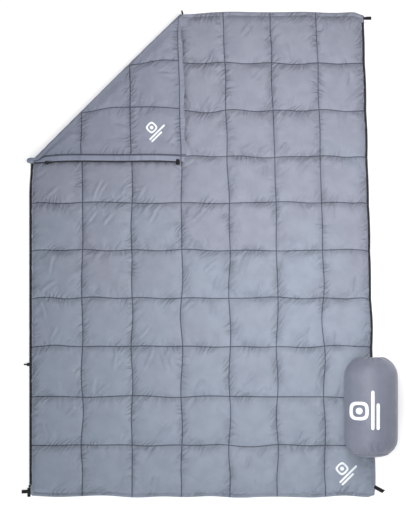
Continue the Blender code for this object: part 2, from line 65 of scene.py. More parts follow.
EDGE_Y = FIELD_Y + BORDER
FOLD_X = -0.08
FOLD_REACH = 0.034

# The diagonal fold: y = x + DIAGONAL, from the left side seam to the head seam.
DIAGONAL = FIELD_X + FIELD_Y - CORNER_CELLS * CELL
CORNER_FOOT = DIAGONAL - FIELD_X
FOLD_HEAD = FIELD_Y - DIAGONAL
CORNER_TOP = 0.0403

# Heights of the quilted cloth.
SEAM_Z = 0.0045
CROWN_Z = 0.0198
PLATEAU = 0.0098
LINING_SEAM_Z = 0.0037
LINING_CROWN_Z = 0.0004
FLAP_HALF_SEAM = 0.0022
FLAP_HALF_PUFF = 0.0076
FLAP_MIDDLE = 0.01
ZIP_MIDDLE = 0.0027
HEAD_MIDDLE = 0.015
FOLD_TOP_Z = 0.0193
FOLD_LINING_Z = 0.0073
FOLD_MIDDLE_Z = 0.0133
FOLD_FADE = 0.045
SUNK_STITCH = 0.0002
LOWEST = 0.0002

# Mesh steps per cell; a few cells are simulated and laid out, turned and mixed, over the field.
STEPS = 36
TRIAL_COLUMNS = 4
TRIAL_ROWS = 3
FRAMES = 22
SACK_FRAMES = 14

# Zip and border, outward from the middle.
HEM_REACH = 0.007
END_HEM_WIDE = BORDER / HEM_REACH
TEETH_INNER = FIELD_X + 0.0118
ZIP_LEFT_TOP = 0.975
ZIP_RIGHT_TOP = 0.962
ZIP_LEFT_FOOT = -0.95
ZIP_RIGHT_FOOT = -0.8
TOOTH_PITCH = 0.0016
STITCH_PITCH = 0.0036
HEM_STITCH_Z = 0.0055
STRAP_LOW = 0.0008
STRAP_THICK = 0.0011

# Stuff sack, lying along Y.
SACK_X = 0.7013
SACK_Z = 0.1175
SACK_FOOT_Y = -0.8288
SACK_RADIUS = 0.109
SACK_LENGTH = 0.41
SACK_ROUND = 0.08
SACK_CREASE = 0.004

# Camera.
CAMERA_AT = (0.0381, -0.0062)
CAMERA_HEIGHT = 14.0
VIEW_HEIGHT = 2.1115
SENSOR = 36.0

# Cloth tints at the head and at the foot.
SHELL_TINTS = (0.221, 0.233, 0.296), (0.226, 0.261, 0.326)
LINING_TINTS = (0.21, 0.226, 0.294), (0.192, 0.222, 0.29)
HEM_TINTS = (0.216, 0.236, 0.308), (0.2, 0.232, 0.306)
SACK_TINTS = (0.158, 0.169, 0.221), (0.15, 0.168, 0.218)

FULL_TURN = 2 * math.pi


# Smooth shapes.


def smooth(edge0, edge1, value):
    t = np.clip((value - edge0) / (edge1 - edge0), 0.0, 1.0)
    return t * t * (3.0 - 2.0 * t)


def hump(value):
    return np.exp(-(value**2))


def waves(x, y, length, seed):
    """Smooth noise between about -1 and 1: a sum of waves about length long."""
    rng = np.random.RandomState(seed)
    total = np.zeros_like(np.asarray(x, float) + np.asarray(y, float))
    count = 9
    for _ in range(count):
        way = rng.uniform(-math.pi, math.pi)
        k = FULL_TURN / (length * rng.uniform(0.7, 1.5))
        total += np.sin(k * (x * math.cos(way) + y * math.sin(way)) + rng.uniform(0, FULL_TURN))
    return total / math.sqrt(count)


# Materials.


class Shader:
    """A node material with a Principled shader, and short names for the nodes it uses."""

    def __init__(self, name):
        self.material = bpy.data.materials.new(name)
        self.material.use_nodes = True
        self.tree = self.material.node_tree
        self.bsdf = self.tree.nodes["Principled BSDF"]

    def plug(self, socket, value):
        if isinstance(value, bpy.types.NodeSocket):
            self.tree.links.new(value, socket)
        else:
            socket.default_value = value

    def surface(self, inputs):
        for key, value in inputs.items():
            self.plug(self.bsdf.inputs[key], value)
        return self.material

    def node(self, kind, inputs=(), **props):
        made = self.tree.nodes.new(kind)
        for key, value in props.items():
            setattr(made, key, value)
        for key, value in dict(inputs).items():
            self.plug(made.inputs[key], value)
        return made

    def math(self, operation, a, b=0.0, clamp=False):
        return self.node("ShaderNodeMath", {0: a, 1: b}, operation=operation, use_clamp=clamp).outputs[0]

    def plus(self, a, b):
        return self.math("ADD", a, b)

    def minus(self, a, b):
        return self.math("SUBTRACT", a, b)

    def times(self, a, b):
        return self.math("MULTIPLY", a, b)

    def size(self, a):
        return self.math("ABSOLUTE", a)

    def ramp(self, value, low, high, start=0.0, end=1.0):
        inputs = {"Value": value, "From Min": low, "From Max": high, "To Min": start, "To Max": end}
        return self.node("ShaderNodeMapRange", inputs, interpolation_type="SMOOTHSTEP").outputs[0]

    def noise(self, vector, scale, detail=2.0, rough=0.5, distortion=0.0):
        inputs = {"Vector": vector, "Scale": scale, "Detail": detail, "Roughness": rough}
        return self.node("ShaderNodeTexNoise", {**inputs, "Distortion": distortion}).outputs["Fac"]

    def bands(self, vector, scale, direction, distortion, detail=2.0):
        inputs = {"Vector": vector, "Scale": scale, "Distortion": distortion, "Detail": detail}
        props = {"wave_type": "BANDS", "bands_direction": direction}
        return self.node("ShaderNodeTexWave", inputs, **props).outputs["Fac"]

    def mix(self, factor, a, b):
        made = self.node("ShaderNodeMix", data_type="RGBA", blend_type="MIX")
        for index, value in ((0, factor), (6, a), (7, b)):
            self.plug(made.inputs[index], value)
        return made.outputs[2]

    def bump(self, height, distance, normal=None):
        made = self.node("ShaderNodeBump", {"Height": height, "Distance": distance, "Strength": 1.0})
        if normal is not None:
            self.plug(made.inputs["Normal"], normal)
        return made.outputs[0]


def cloth_material(name, tints, seams="inner", rough=0.52, sheen=0.25, seam_dark=0.86, pucker=0.0034):
    """Smooth quilt cloth: its tint drifts from head to foot; fine weave; creases along the seams, with painted
    shade in them and beside the seams.

    The seams drawn are the quilting's own, "inner", or the border's alone, "edge", or none.
    """
    head, foot = tints
    s = Shader(name)
    uv = s.node("ShaderNodeTexCoord").outputs["UV"]
    parts = s.node("ShaderNodeSeparateXYZ", {0: uv}).outputs
    patch = s.noise(uv, 17.0, 3.0, 0.55)
    drift = s.plus(s.times(s.noise(uv, 3.6, 2.0, 0.5), 1.5), s.ramp(parts[1], 0.9, -0.9, -0.75, 0.15))
    # black: a dark tint, mixed in for the random darker patches and for the painted shade at the seams and in
    # their creases.
    black = (foot[0] * 0.1, foot[1] * 0.11, foot[2] * 0.17, 1)
    colour = s.mix(s.ramp(drift, 0.1, 0.8), (*head, 1), (*foot, 1))
    colour = s.mix(s.ramp(patch, 0.3, 0.72, 0.0, 0.1), colour, black)
    weave = s.times(s.bands(uv, 260.0, "X", 0.6, 1.0), s.bands(uv, 290.0, "Y", 0.6, 1.0))
    normal = s.bump(weave, 0.00006)
    normal = s.bump(s.noise(uv, 46.0, 4.0, 0.6, 0.6), 0.0008, normal)
    if seams:
        colour, normal = draw_seams(s, uv, parts, colour, normal, black, seams, seam_dark, pucker)
    return s.surface({
        "Base Color": colour,
        "Roughness": s.ramp(patch, 0.3, 0.7, rough - 0.05, rough + 0.06),
        "Specular IOR Level": 0.35,
        "Sheen Weight": sheen,
        "Sheen Roughness": 0.5,
        "Normal": normal,
    })


def draw_seams(s, uv, parts, colour, normal, black, seams, seam_dark, pucker):
    """Puckers that slant away from the quilting, with painted shade in their creases and beside the seams, and
    the seams' dark lines, partly thread and partly painted shade.
    """
    halves = (FIELD_X, FIELD_Y)
    places = [s.math("FRACT", s.math("DIVIDE", s.plus(parts[k], halves[k] + CELL * 20), CELL)) for k in (0, 1)]
    gaps = [s.times(s.minus(0.5, s.size(s.minus(place, 0.5))), CELL) for place in places]
    sides = [s.minus(s.times(s.math("LESS_THAN", place, 0.5), 2.0), 1.0) for place in places]
    lean = s.plus(s.times(s.minus(s.noise(uv, 4.6, 1.0, 0.4), 0.5), 6.0), 0.75)
    busy = s.ramp(s.noise(uv, 8.0, 2.0, 0.5), 0.4, 0.58)
    puckers = []
    for k in (0, 1):
        along = s.minus(parts[1 - k], s.times(lean, s.times(gaps[k], sides[k])))
        apart = s.plus(s.times(sides[k], 1.7), 7.0 * k)
        lined = s.node("ShaderNodeCombineXYZ", {0: s.times(gaps[k], 13.0), 1: s.times(along, 50.0), 2: apart})
        ridge = s.size(s.minus(s.noise(lined.outputs[0], 1.0, 1.2, 0.5, 0.2), 0.5))
        reach = s.math("POWER", s.ramp(gaps[k], 0.046, 0.002), 1.4)
        puckers.append(s.times(s.ramp(ridge, 0.0, 0.105, 1.0, 0.0), s.times(reach, busy)))
    sunk = s.math("MAXIMUM", *puckers, clamp=True)
    normal = s.bump(s.minus(1.0, sunk), pucker, normal)
    border = [s.minus(s.size(parts[k]), halves[k]) for k in (0, 1)]
    if seams == "inner":
        gaps = [s.plus(gaps[k], s.math("GREATER_THAN", border[k], -0.02)) for k in (0, 1)]
    else:
        gaps = [s.size(edge) for edge in border]
    # Painted shade on one side of each seam: right of the vertical seams and just below the horizontal ones.
    shaded_x = s.ramp(places[0], 0.09, 0.01, 0.0, 0.1)
    shaded_y = s.ramp(places[1], 0.86, 0.99, 0.0, 0.15)
    # Painted shade in the puckers' creases: the colour darkens where the cloth is sunk.
    colour = s.mix(s.times(sunk, 0.15), colour, black)
    colour = s.mix(s.math("MAXIMUM", shaded_x, shaded_y), colour, black)
    # The seams' dark lines: the thread's own dark line, with painted shade in the seam's valley.
    line = s.ramp(s.math("MINIMUM", *gaps), 0.003, 0.0012, 0.0, seam_dark)
    return s.mix(line, colour, black), normal


def grain_material(name, light, dark, rough, scale, depth, metallic=0.0, weave=0.0, coat=0.0):
    """Small trim: webbing, enamel, plastic or thread, by its grain and depth."""
    s = Shader(name)
    at = s.node("ShaderNodeTexCoord").outputs["Object"]
    grain = s.noise(at, scale, 4.0, 0.6)
    wear = s.noise(at, scale * 0.13, 3.0, 0.6)
    height = grain
    if weave:
        height = s.plus(s.times(s.bands(at, weave, "DIAGONAL", 0.4), 0.8), s.times(grain, 0.4))
    return s.surface({
        "Base Color": s.mix(s.ramp(s.times(grain, wear), 0.12, 0.42), (*dark, 1), (*light, 1)),
        "Roughness": s.ramp(wear, 0.3, 0.7, rough - 0.08, rough + 0.1),
        "Metallic": metallic,
        "Coat Weight": coat,
        "Normal": s.bump(height, depth),
    })


LOOKS = {
    "shell": cloth_material("shell_cloth", SHELL_TINTS),
    "shell_plain": cloth_material("shell_cloth_plain", SHELL_TINTS, None),
    "lining": cloth_material("lining_cloth", LINING_TINTS, rough=0.56),
    "lining_plain": cloth_material("lining_cloth_plain", LINING_TINTS, None, rough=0.56),
    "corner_hem": cloth_material("corner_hem_cloth", HEM_TINTS, "edge", seam_dark=0.7, pucker=0.001),
    "knee": cloth_material("knee_cloth", HEM_TINTS, None),
    "sack": cloth_material("sack_cloth", SACK_TINTS, None, rough=0.45, sheen=0.08),
    "thread": grain_material(
        "quilting_thread", (0.075, 0.08, 0.105), (0.04, 0.043, 0.062), 0.75, 900, 0.0001
    ),
    "tape": grain_material(
        "zip_tape_weave", (0.014, 0.015, 0.021), (0.006, 0.006, 0.009), 0.85, 700, 0.0002, weave=420
    ),
    "teeth": grain_material(
        "zip_coil_nylon", (0.012, 0.013, 0.018), (0.005, 0.005, 0.008), 0.42, 500, 0.00005
    ),
    "webbing": grain_material(
        "black_webbing", (0.008, 0.008, 0.01), (0.003, 0.003, 0.004), 0.92, 600, 0.0003, weave=300
    ),
    "cord": grain_material(
        "black_braid", (0.022, 0.022, 0.026), (0.007, 0.007, 0.009), 0.85, 700, 0.0002, weave=500
    ),
    "metal": grain_material(
        "black_enamel", (0.03, 0.03, 0.034), (0.01, 0.01, 0.012), 0.38, 260, 0.00006, metallic=0.5, coat=0.3
    ),
    "plastic": grain_material(
        "satin_black_plastic", (0.02, 0.02, 0.022), (0.01, 0.01, 0.011), 0.45, 340, 0.00008
    ),
    "steel": grain_material(
        "spring_wire_steel", (0.6, 0.6, 0.62), (0.42, 0.42, 0.44), 0.3, 300, 0.00003, metallic=1.0
    ),
    "print": grain_material("white_print", (0.86, 0.87, 0.9), (0.7, 0.72, 0.78), 0.55, 240, 0.00012),
}


# How the cloth lies.


def fold_distance(x, y):
    """Distance from the diagonal fold, positive on the side of the turned-back corner."""
    return (y - x - DIAGONAL) / math.sqrt(2)


def fold_shift(x, y):
    """The fold lies a little inside its own line, more so towards the head."""
    along = np.clip(((x + y) / 2 + 0.163) / 0.621, 0, 1)
    return 0.006 + 0.004 * along**3


def edge_rise(x):
    """How far the cloth near the fold is lifted: not at all at the zip, fully 35 mm from it."""
    return smooth(-FIELD_X, -FIELD_X + 0.035, x)


def meet_fold(x, y, dx, dy, distance):
    """The moves of cloth near the fold give way to the fold's own."""
    near = smooth(0.1, 0.0, distance)
    shift = fold_shift(x, y)
    return dx * (1 - near) + shift * near, dy * (1 - near) - shift * near


def lay_main(points, fold_z=None):
    """The flat quilt's points, as they lie: (x, y, z) rows in, rows out."""
    x, y, z = np.asarray(points, float).T
    # The sides bow and lean.
    across = np.clip((x + EDGE_X) / (2 * EDGE_X), 0, 1)
    dx = 0.026 * np.sin(math.pi * across**1.25)
    dx -= 0.029 * smooth(-0.12, 0.1, x) * np.clip(y, 0, 1) ** 1.15
    dx += 0.022 * smooth(0.25, 0.7, x) * np.clip(-y, 0, 1) ** 0.9
    dy = 0.018 * np.exp(-(((y + 0.05) / 0.5) ** 4)) * smooth(1.0, 0.9, np.abs(x) / EDGE_X * 0.95)
    # The seams run a little uneven.
    inside = smooth(0.0, 0.1, FIELD_X - np.abs(x)) * smooth(0.0, 0.1, FIELD_Y - np.abs(y))
    dx += 0.003 * waves(x, y, 0.3, 11) * inside
    dy += 0.003 * waves(x, y, 0.26, 12) * inside
    dy += 0.0012 * np.sin(FULL_TURN * (x + FIELD_X) / CELL + 0.8) * inside
    # The borders draw in at each seam, and the right-hand corners are rounded.
    phase_y = np.abs(np.sin(math.pi * (y + FIELD_Y) / CELL))
    at_end = smooth(FIELD_Y - 0.07, FIELD_Y, np.abs(y))
    at_right = smooth(FIELD_X - 0.05, FIELD_X, x)
    dy += np.sign(y) * at_end * np.where(y > 0, 0.0016, 0.0028) * waves(x, 0 * y, 0.26, 14)
    dx += at_right * (0.0022 * phase_y - 0.0012 + 0.0014 * waves(0 * x, y, 0.3, 15))
    round_head = smooth(0.655, 0.7045, x) * smooth(0.93, 1.0, y)
    round_foot = smooth(0.665, 0.7045, x) * smooth(-0.955, -1.0, y)
    dy += 0.008 * round_foot - 0.014 * round_head
    dx += 0.004 * round_head - 0.004 * round_foot
    inward = -fold_distance(x, y)
    dx, dy = meet_fold(x, y, dx, dy, inward)
    if fold_z is not None:
        at_fold = smooth(FOLD_FADE, 0.004, inward) * edge_rise(x)
        z = z * (1 - at_fold) + fold_z * at_fold
    return np.stack([x + dx, y + dy, z], 1)


def flap_middle(x, y):
    """Height of the corner's middle layer, unfolded: low at the zip, high at the head hem."""
    middle = FLAP_MIDDLE + (HEAD_MIDDLE - FLAP_MIDDLE) * smooth(FIELD_Y - 0.09, FIELD_Y, y)
    at_zip = smooth(-FIELD_X + 0.075, -FIELD_X, x)
    return middle * (1 - at_zip) + ZIP_MIDDLE * at_zip


def above_zip(x, y):
    return flap_middle(x, y) - ZIP_MIDDLE


def lay_flap(points, fold_z=None, hem=True):
    """Points of the unfolded corner, turned back over the fold."""
    x, y, z = np.asarray(points, float).T
    outward = fold_distance(x, y)
    if fold_z is not None:
        at_fold = smooth(FOLD_FADE, 0.004, outward)
        z = z * (1 - at_fold) + fold_z * at_fold
    x, y, z = y - DIAGONAL, x + DIAGONAL, CORNER_TOP - z
    # From here on x and y are where the corner lies, turned back.
    along = np.clip((x + 0.7) / 0.6165, 0, 1.1)
    up = np.clip((y - 0.379) / 0.621, 0, 1)
    dx = 0.0185 * along**1.4 * (1.18 - 0.72 * up)
    dy = 0.016 * np.sin(math.pi * np.clip(up, 0, 1)) ** 0.8
    dx += 0.002 * waves(x, y, 0.3, 21) * smooth(0, 0.1, up)
    dy += 0.0022 * waves(x, y, 0.26, 22) * smooth(0.04, 0.15, up)
    dy += 0.0016 * waves(x, 0 * y, 0.3, 23) * smooth(0.15, 0.35, along)
    dx += 0.0022 * waves(0 * x, y, 0.24, 24) * along**4
    if hem:
        dx -= 0.004 * smooth(-0.086, -0.0985, x) * smooth(-0.2, -0.1, x)
    dx, dy = meet_fold(x, y, dx, dy, outward)
    if hem:
        dy += 0.018 * smooth(0.3862, 0.3945, y) * smooth(0.51, 0.4, y) * smooth(0.008, 0.036, outward)
    return np.stack([x + dx, y + dy, z], 1)


def lay_flap_zip(points, fold_z=None):
    """The corner's zip keeps clear of what its hems do."""
    return lay_flap(points, fold_z, hem=False)


# Meshes.


def new_object(name, points, faces, uv=None):
    mesh = bpy.data.meshes.new(name)
    mesh.from_pydata(np.asarray(points, float).tolist(), [], [list(map(int, face)) for face in faces])
    mesh.update()
    mesh.shade_smooth()
    if uv is not None:
        layer = mesh.uv_layers.new(name="cloth")
        loops = np.zeros(len(mesh.loops), np.int64)
        mesh.loops.foreach_get("vertex_index", loops)
        layer.data.foreach_set("uv", np.asarray(uv, np.float32)[loops].ravel())
    obj = bpy.data.objects.new(name, mesh)
    bpy.context.scene.collection.objects.link(obj)
    return obj


def place(obj, look, slot, body=None, nodes=()):
    """Gives a piece its material, the body it rides on and the nodes it stands for; slot is not used."""
    obj.data.materials.clear()
    obj.data.materials.append(LOOKS[look])
    if nodes:
        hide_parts(*nodes)
    if body:
        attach(obj, body)
    return obj


def named(*names):
    return [bpy.data.objects[name] for name in names]


def grid_faces(rows, columns, round_rows=False, round_columns=False):
    """Quads over a grid of rows x columns points, which may join up its last and first ones."""
    index = np.arange(rows * columns).reshape(rows, columns)
    if round_columns:
        index = np.concatenate([index, index[:, :1]], 1)
    if round_rows:
        index = np.concatenate([index, index[:1]])
    quads = np.stack([index[:-1, :-1], index[:-1, 1:], index[1:, 1:], index[1:, :-1]], -1)
    return quads.reshape(-1, 4)


def tube_faces(rows, columns, round_rows=True, flip=False):
    """Faces round a run of sections, with both ends capped."""
    faces = [list(face) for face in grid_faces(rows, columns, round_rows)]
    faces.append([k * columns for k in range(rows)])
    faces.append([k * columns + columns - 1 for k in range(rows)][::-1])
    return [face[::-1] for face in faces] if flip else faces


def copies(points, faces, count):
    """The faces of count equal shapes whose points, (count, n, 3), follow each other."""
    starts = np.arange(count) * points.shape[1]
    return points.reshape(-1, 3), [tuple(np.array(face) + start) for start in starts for face in faces]


def joined(parts):
    points, faces, total = [], [], 0
    for part_points, part_faces in parts:
        points.append(part_points)
        faces += [tuple(i + total for i in face) for face in part_faces]
        total += len(part_points)
    return np.concatenate(points), faces


def fix_normals(obj):
    made = bmesh.new()
    made.from_mesh(obj.data)
    bmesh.ops.recalc_face_normals(made, faces=made.faces)
    made.to_mesh(obj.data)
    made.free()


def field_part(corner, step):
    """Faces of the cell grid on one side of the diagonal, with triangles along it."""
    columns = COLUMNS * STEPS // step + 1
    rows = ROWS * STEPS // step + 1
    offset = (ROWS - CORNER_CELLS) * STEPS // step
    faces = []
    for j, i in np.ndindex(rows - 1, columns - 1):
        a = j * columns + i
        b, d = a + 1, a + columns
        c = b + columns
        if j < i + offset and not corner or j > i + offset and corner:
            faces.append((a, b, c, d))
        elif j == i + offset:
            faces.append((a, c, d) if corner else (a, b, c))
    return faces


def cloth_piece(name, corner, points, under, nodes, step=1):
    """Top shell or lining, on one side of the fold, from the field's grid of points."""
    flat = np.stack(flat_field()[:2], -1)
    points, flat = (grid[::step, ::step].reshape(-1, grid.shape[-1]) for grid in (points, flat))
    faces = field_part(corner, step)
    used = np.zeros(len(points), bool)
    for face in faces:
        used[list(face)] = True
    number = np.cumsum(used) - 1
    faces = [[number[i] for i in (face[::-1] if under else face)] for face in faces]
    lay = lay_flap if corner else lay_main
    laid = lay(points[used], FOLD_LINING_Z if under else FOLD_TOP_Z)
    obj = new_object(name, laid, faces, flat[used])
    kind = "lining" if under else "shell"
    return place(obj, kind, f"{kind}_fabric", nodes=nodes)


# The simulated cells.


def flat_field(columns=COLUMNS, rows=ROWS):
    """The field's grid: x, y, what is sewn, and how far inside its cell each point is."""
    half_x, half_y = columns * CELL / 2, rows * CELL / 2
    across, up = columns * STEPS + 1, rows * STEPS + 1
    x, y = np.meshgrid(np.linspace(-half_x, half_x, across), np.linspace(-half_y, half_y, up))
    i, j = np.meshgrid(np.arange(across) % STEPS, np.arange(up) % STEPS)
    sewn = (i == 0) | (j == 0)
    bow = (1 - (2 * i / STEPS - 1) ** 2) * (1 - (2 * j / STEPS - 1) ** 2)
    return x, y, sewn, bow


def cell_slice(row, column):
    """The part of a grid that one cell covers, its seams included."""
    return np.s_[row * STEPS : row * STEPS + STEPS + 1, column * STEPS : column * STEPS + STEPS + 1]


def simulate_cells():
    """Cloth sewn down along every seam and blown up between, with cloth to spare.

    Returns each cell's moves from its flat square: (cells, rows, columns, 3).
    """
    x, y, sewn, bow = flat_field(TRIAL_COLUMNS, TRIAL_ROWS)
    rng = np.random.RandomState(5)
    z = 0.008 * bow + rng.uniform(-1, 1, x.shape) * 0.0004 * ~sewn
    points = np.stack([x, y, z], -1)
    obj = new_object("trial", points.reshape(-1, 3), grid_faces(*x.shape))
    points = blow(obj, sewn, pressure=2.2, spare=0.05, frames=FRAMES, bending=0.06).reshape(points.shape)
    bpy.data.objects.remove(obj)
    moves = points - np.stack([x, y, 0 * x], -1)
    return np.array([moves[cell_slice(r, c)] for r, c in np.ndindex(TRIAL_ROWS, TRIAL_COLUMNS)])


def blow(obj, sewn, pressure, spare, frames, bending):
    """Blows the cloth up between its sewn points for some frames; returns its points."""
    group = obj.vertex_groups.new(name="sewn")
    group.add([int(k) for k in np.flatnonzero(sewn.ravel())], 1.0, "REPLACE")
    cloth = obj.modifiers.new("cloth", "CLOTH")
    for key, value in {
        "quality": 4, "mass": 0.2, "air_damping": 1.0,
        "tension_stiffness": 20, "compression_stiffness": 20, "shear_stiffness": 8,
        "tension_damping": 8, "compression_damping": 8, "shear_damping": 8,
        "bending_stiffness": bending, "bending_damping": 0.5,
        "vertex_group_mass": "sewn", "use_pressure": True,
        "uniform_pressure_force": pressure, "shrink_min": -spare,
    }.items():
        setattr(cloth.settings, key, value)
    cloth.settings.effector_weights.gravity = 0
    cloth.collision_settings.use_collision = False
    cloth.point_cache.frame_start = 1
    cloth.point_cache.frame_end = frames
    for number in range(1, frames + 1):
        bpy.context.scene.frame_set(number)
    evaluated = obj.evaluated_get(bpy.context.evaluated_depsgraph_get())
    mesh = evaluated.to_mesh()
    co = np.zeros(len(mesh.vertices) * 3, np.float32)
    mesh.vertices.foreach_get("co", co)
    evaluated.to_mesh_clear()
    obj.modifiers.clear()
    return co.reshape(-1, 3).astype(float)


def turned(cell, way):
    """One of the eight ways round of a square cell's moves."""
    if way & 1:
        cell = cell[:, ::-1] * np.array([-1, 1, 1])
    if way & 2:
        cell = cell[::-1] * np.array([1, -1, 1])
    if way & 4:
        cell = cell.transpose(1, 0, 2)[..., [1, 0, 2]]
    return cell


def spread_cells(cells, seed):
    """A field of cells, each a mix of two of the simulated ones without their common dome."""
    ways = [turned(cell, way) for cell in cells for way in range(8)]
    dome = np.mean(ways, 0)
    field = np.zeros((ROWS * STEPS + 1, COLUMNS * STEPS + 1, 3))
    rng = np.random.RandomState(seed)
    for row, column in np.ndindex(ROWS, COLUMNS):
        first, second = rng.randint(len(ways), size=2)
        strength, other = rng.uniform(0.55, 1.25), rng.uniform(0.0, 0.6)
        own = (ways[first] - dome) * strength + (ways[second] - dome) * other
        field[cell_slice(row, column)] = own
    return field


def beside(x, y, column, row, way, bend, reach):
    """Which points lie near a place in the grid of cells, and how far along and off a bent line."""
    from_x, from_y = x - (-FIELD_X + column * CELL), y - (-FIELD_Y + row * CELL)
    near = (np.abs(from_x) < reach) & (np.abs(from_y) < reach)
    px, py = from_x[near], from_y[near]
    t = px * math.cos(way) + py * math.sin(way)
    return near, t, -px * math.sin(way) + py * math.cos(way) + bend * t * t


def creases(x, y, seed, depth, busy):
    """Groups of slanting creases that run from a seam into its cell."""
    rng = np.random.RandomState(seed)
    total = np.zeros_like(x)
    for row, column in np.ndindex(ROWS, COLUMNS):
        lean = rng.uniform(0.2, 0.9)
        for side in range(4):
            if rng.uniform() > busy:
                continue
            count, at = rng.randint(1, 6), rng.uniform(0.08, 0.75)
            slant = lean * (-1, -1, -1, 1)[side] + rng.uniform(-0.35, 0.35)
            strength = rng.uniform(0.5, 1.3) * depth
            for _ in range(count):
                at += rng.uniform(0.055, 0.085)
                if at >= 0.93:
                    continue
                way = (math.pi / 2, math.pi, -math.pi / 2, 0)[side] + (slant + rng.uniform(-0.15, 0.15))
                length = rng.uniform(0.018, 0.06)
                width = rng.uniform(0.004, 0.0056)
                i, j = ((at, 0), (1, at), (at, 1), (0, at))[side]
                near, t, n = beside(x, y, column + i, row + j, way, rng.uniform(-4, 4), 0.11)
                body = smooth(-0.002, 0.007, t) * smooth(length, length * 0.25, t)
                ridge = 0.55 * hump(n / width) - hump((n - 1.5 * width) / (0.8 * width))
                total[near] += strength * body * ridge
    return total


def long_folds(x, y, seed, depth):
    """Broad soft folds across the cells, most of them leaning the same way."""
    rng = np.random.RandomState(seed)
    total = np.zeros_like(x)
    for row, column in np.ndindex(ROWS, COLUMNS):
        for _ in range(rng.randint(0, 5)):
            if rng.uniform() > 0.7:
                continue
            i = column + rng.uniform(0.15, 0.85)
            j = row + rng.choice([0.22, 0.78]) + rng.uniform(-0.12, 0.12)
            way = math.radians(rng.normal(62, 20))
            half = rng.uniform(0.026, 0.062)
            width = rng.uniform(0.0045, 0.0068)
            near, t, n = beside(x, y, i, j, way, rng.uniform(-3.5, 3.5), 0.1)
            body = smooth(half, half * 0.3, np.abs(t))
            shape = hump(n / width) - 0.7 * hump((n + 1.6 * width) / width)
            total[near] += depth * rng.uniform(0.5, 1.2) * body * shape
    return total


def plateau():
    """The cells' common shape between 0 and 1: a quick rise from each seam, then nearly flat."""
    rises = []
    for count in (COLUMNS, ROWS):
        i = np.arange(count * STEPS + 1) % STEPS
        gap = np.minimum(i, STEPS - i) * (CELL / STEPS)
        rises.append(0.8 * (1 - np.exp(-gap / 0.0125)) + 0.2 * np.sin(math.pi * gap / CELL))
    return rises[0][None, :] * rises[1][:, None]


def quilt_cloth():
    """Top shell and lining of the quilt, and of its turned-back corner."""
    cells = simulate_cells()
    x, y, _, bow = flat_field()
    loose = smooth(0.0, 0.12, bow)
    body = plateau()

    def raised(share, z):
        return np.stack([x + share * moves[..., 0], y + share * moves[..., 1], z], -1)

    moves = spread_cells(cells, 71)
    wrinkles = (creases(x, y, 31, 0.0019, 0.55) + long_folds(x, y, 35, 0.0056)) * loose
    rise = PLATEAU * body + 0.75 * moves[..., 2] + wrinkles
    rise += 0.0013 * waves(x, y, 0.45, 41) * smooth(0, 0.5, bow)
    high = CROWN_Z - SEAM_Z
    knee = 0.8 * high
    rise = np.where(rise > knee, knee + 0.2 * high * np.tanh((rise / high - 0.8) / 0.2), rise)
    nodes = ["right_top_shell", "left_top_shell", "right_insulation", "left_insulation"]
    cloth_piece("quilt_top_shell", False, raised(0.7, SEAM_Z + np.maximum(rise, 0)), False, nodes)

    moves = spread_cells(cells, 72)
    share = np.clip(body + moves[..., 2] / 0.012, 0, 1.15)
    sunk = LINING_SEAM_Z + (LINING_CROWN_Z - LINING_SEAM_Z) * share
    points = raised(0.5, np.maximum(sunk, LOWEST))
    cloth_piece("quilt_lining", False, points, True, ["right_lining", "left_lining"], step=2)

    middle = flap_middle(x, y)
    wrinkles = (creases(x, y, 33, 0.0021, 0.72) + long_folds(x, y, 36, 0.005)) * loose
    puff = FLAP_HALF_PUFF * body + 0.6 * moves[..., 2] + wrinkles
    puff = np.clip(puff, 0, FLAP_HALF_PUFF * 1.15)
    low = np.maximum(middle - FLAP_HALF_SEAM - puff, LOWEST)
    cloth_piece("corner_lining_cloth", True, raised(0.7, low), True, ["corner_lining"])
    points = raised(0.0, middle + FLAP_HALF_SEAM + FLAP_HALF_PUFF * body)
    cloth_piece("corner_shell_cloth", True, points, False, ["corner_top_shell", "corner_insulation"])


# The fold itself: the lining runs round outside it, the top shell inside it.


def fold_points(along, outward, z):
    """Points by their share of the fold line's length, their distance beyond the line and z."""
    x = -EDGE_X + along * (EDGE_Y - DIAGONAL + EDGE_X)
    y = x + DIAGONAL
    shift = fold_shift(x, y)
    push = outward / math.sqrt(2)
    return np.stack([x + shift - push, y - shift + push, z + 0 * x], 1)


def fold_wraps():
    count, steps = 240, 10
    along = np.linspace(0.004, 0.996, count)
    rise = edge_rise(-EDGE_X + along * (EDGE_Y - DIAGONAL + EDGE_X))
    half = CORNER_TOP / 2 - FOLD_LINING_Z
    low_half = CORNER_TOP / 2 - (LINING_SEAM_Z + (FOLD_LINING_Z - LINING_SEAM_Z) * rise)
    rings = []
    for k in range(steps + 1):
        angle = -math.pi / 2 + math.pi * k / steps
        crumple = 0.0005 * waves(along, 0 * along + k * 0.01, 0.05, 51)
        out = 0.0004 + (0.0056 + crumple) * math.cos(angle)
        z = CORNER_TOP / 2 + (low_half if angle < 0 else half) * math.sin(angle)
        rings.append(fold_points(along, out, z))
    points = np.concatenate(rings)
    uv = np.stack([points[:, 0], points[:, 1] + points[:, 2]], 1)
    outer = new_object("fold_outer_cloth", points, tube_faces(steps + 1, count, round_rows=False), uv)
    place(outer, "lining_plain", "lining_fabric")

    low, high = SEAM_Z + (FOLD_TOP_Z - SEAM_Z) * rise, CORNER_TOP - FOLD_TOP_Z
    section = ((low, -0.0006), ((low + high) / 2, 0.0026), (high, -0.0006))
    points = np.concatenate([fold_points(along, out, z) for z, out in section])
    inner = new_object("fold_inner_cloth", points, grid_faces(3, count), points[:, :2])
    place(inner, "shell_plain", "shell_fabric")

    for obj, start in ((outer, FOLD_LINING_Z + 0.001), (inner, FOLD_TOP_Z), (fold_knee(), 0.008)):
        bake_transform(obj)


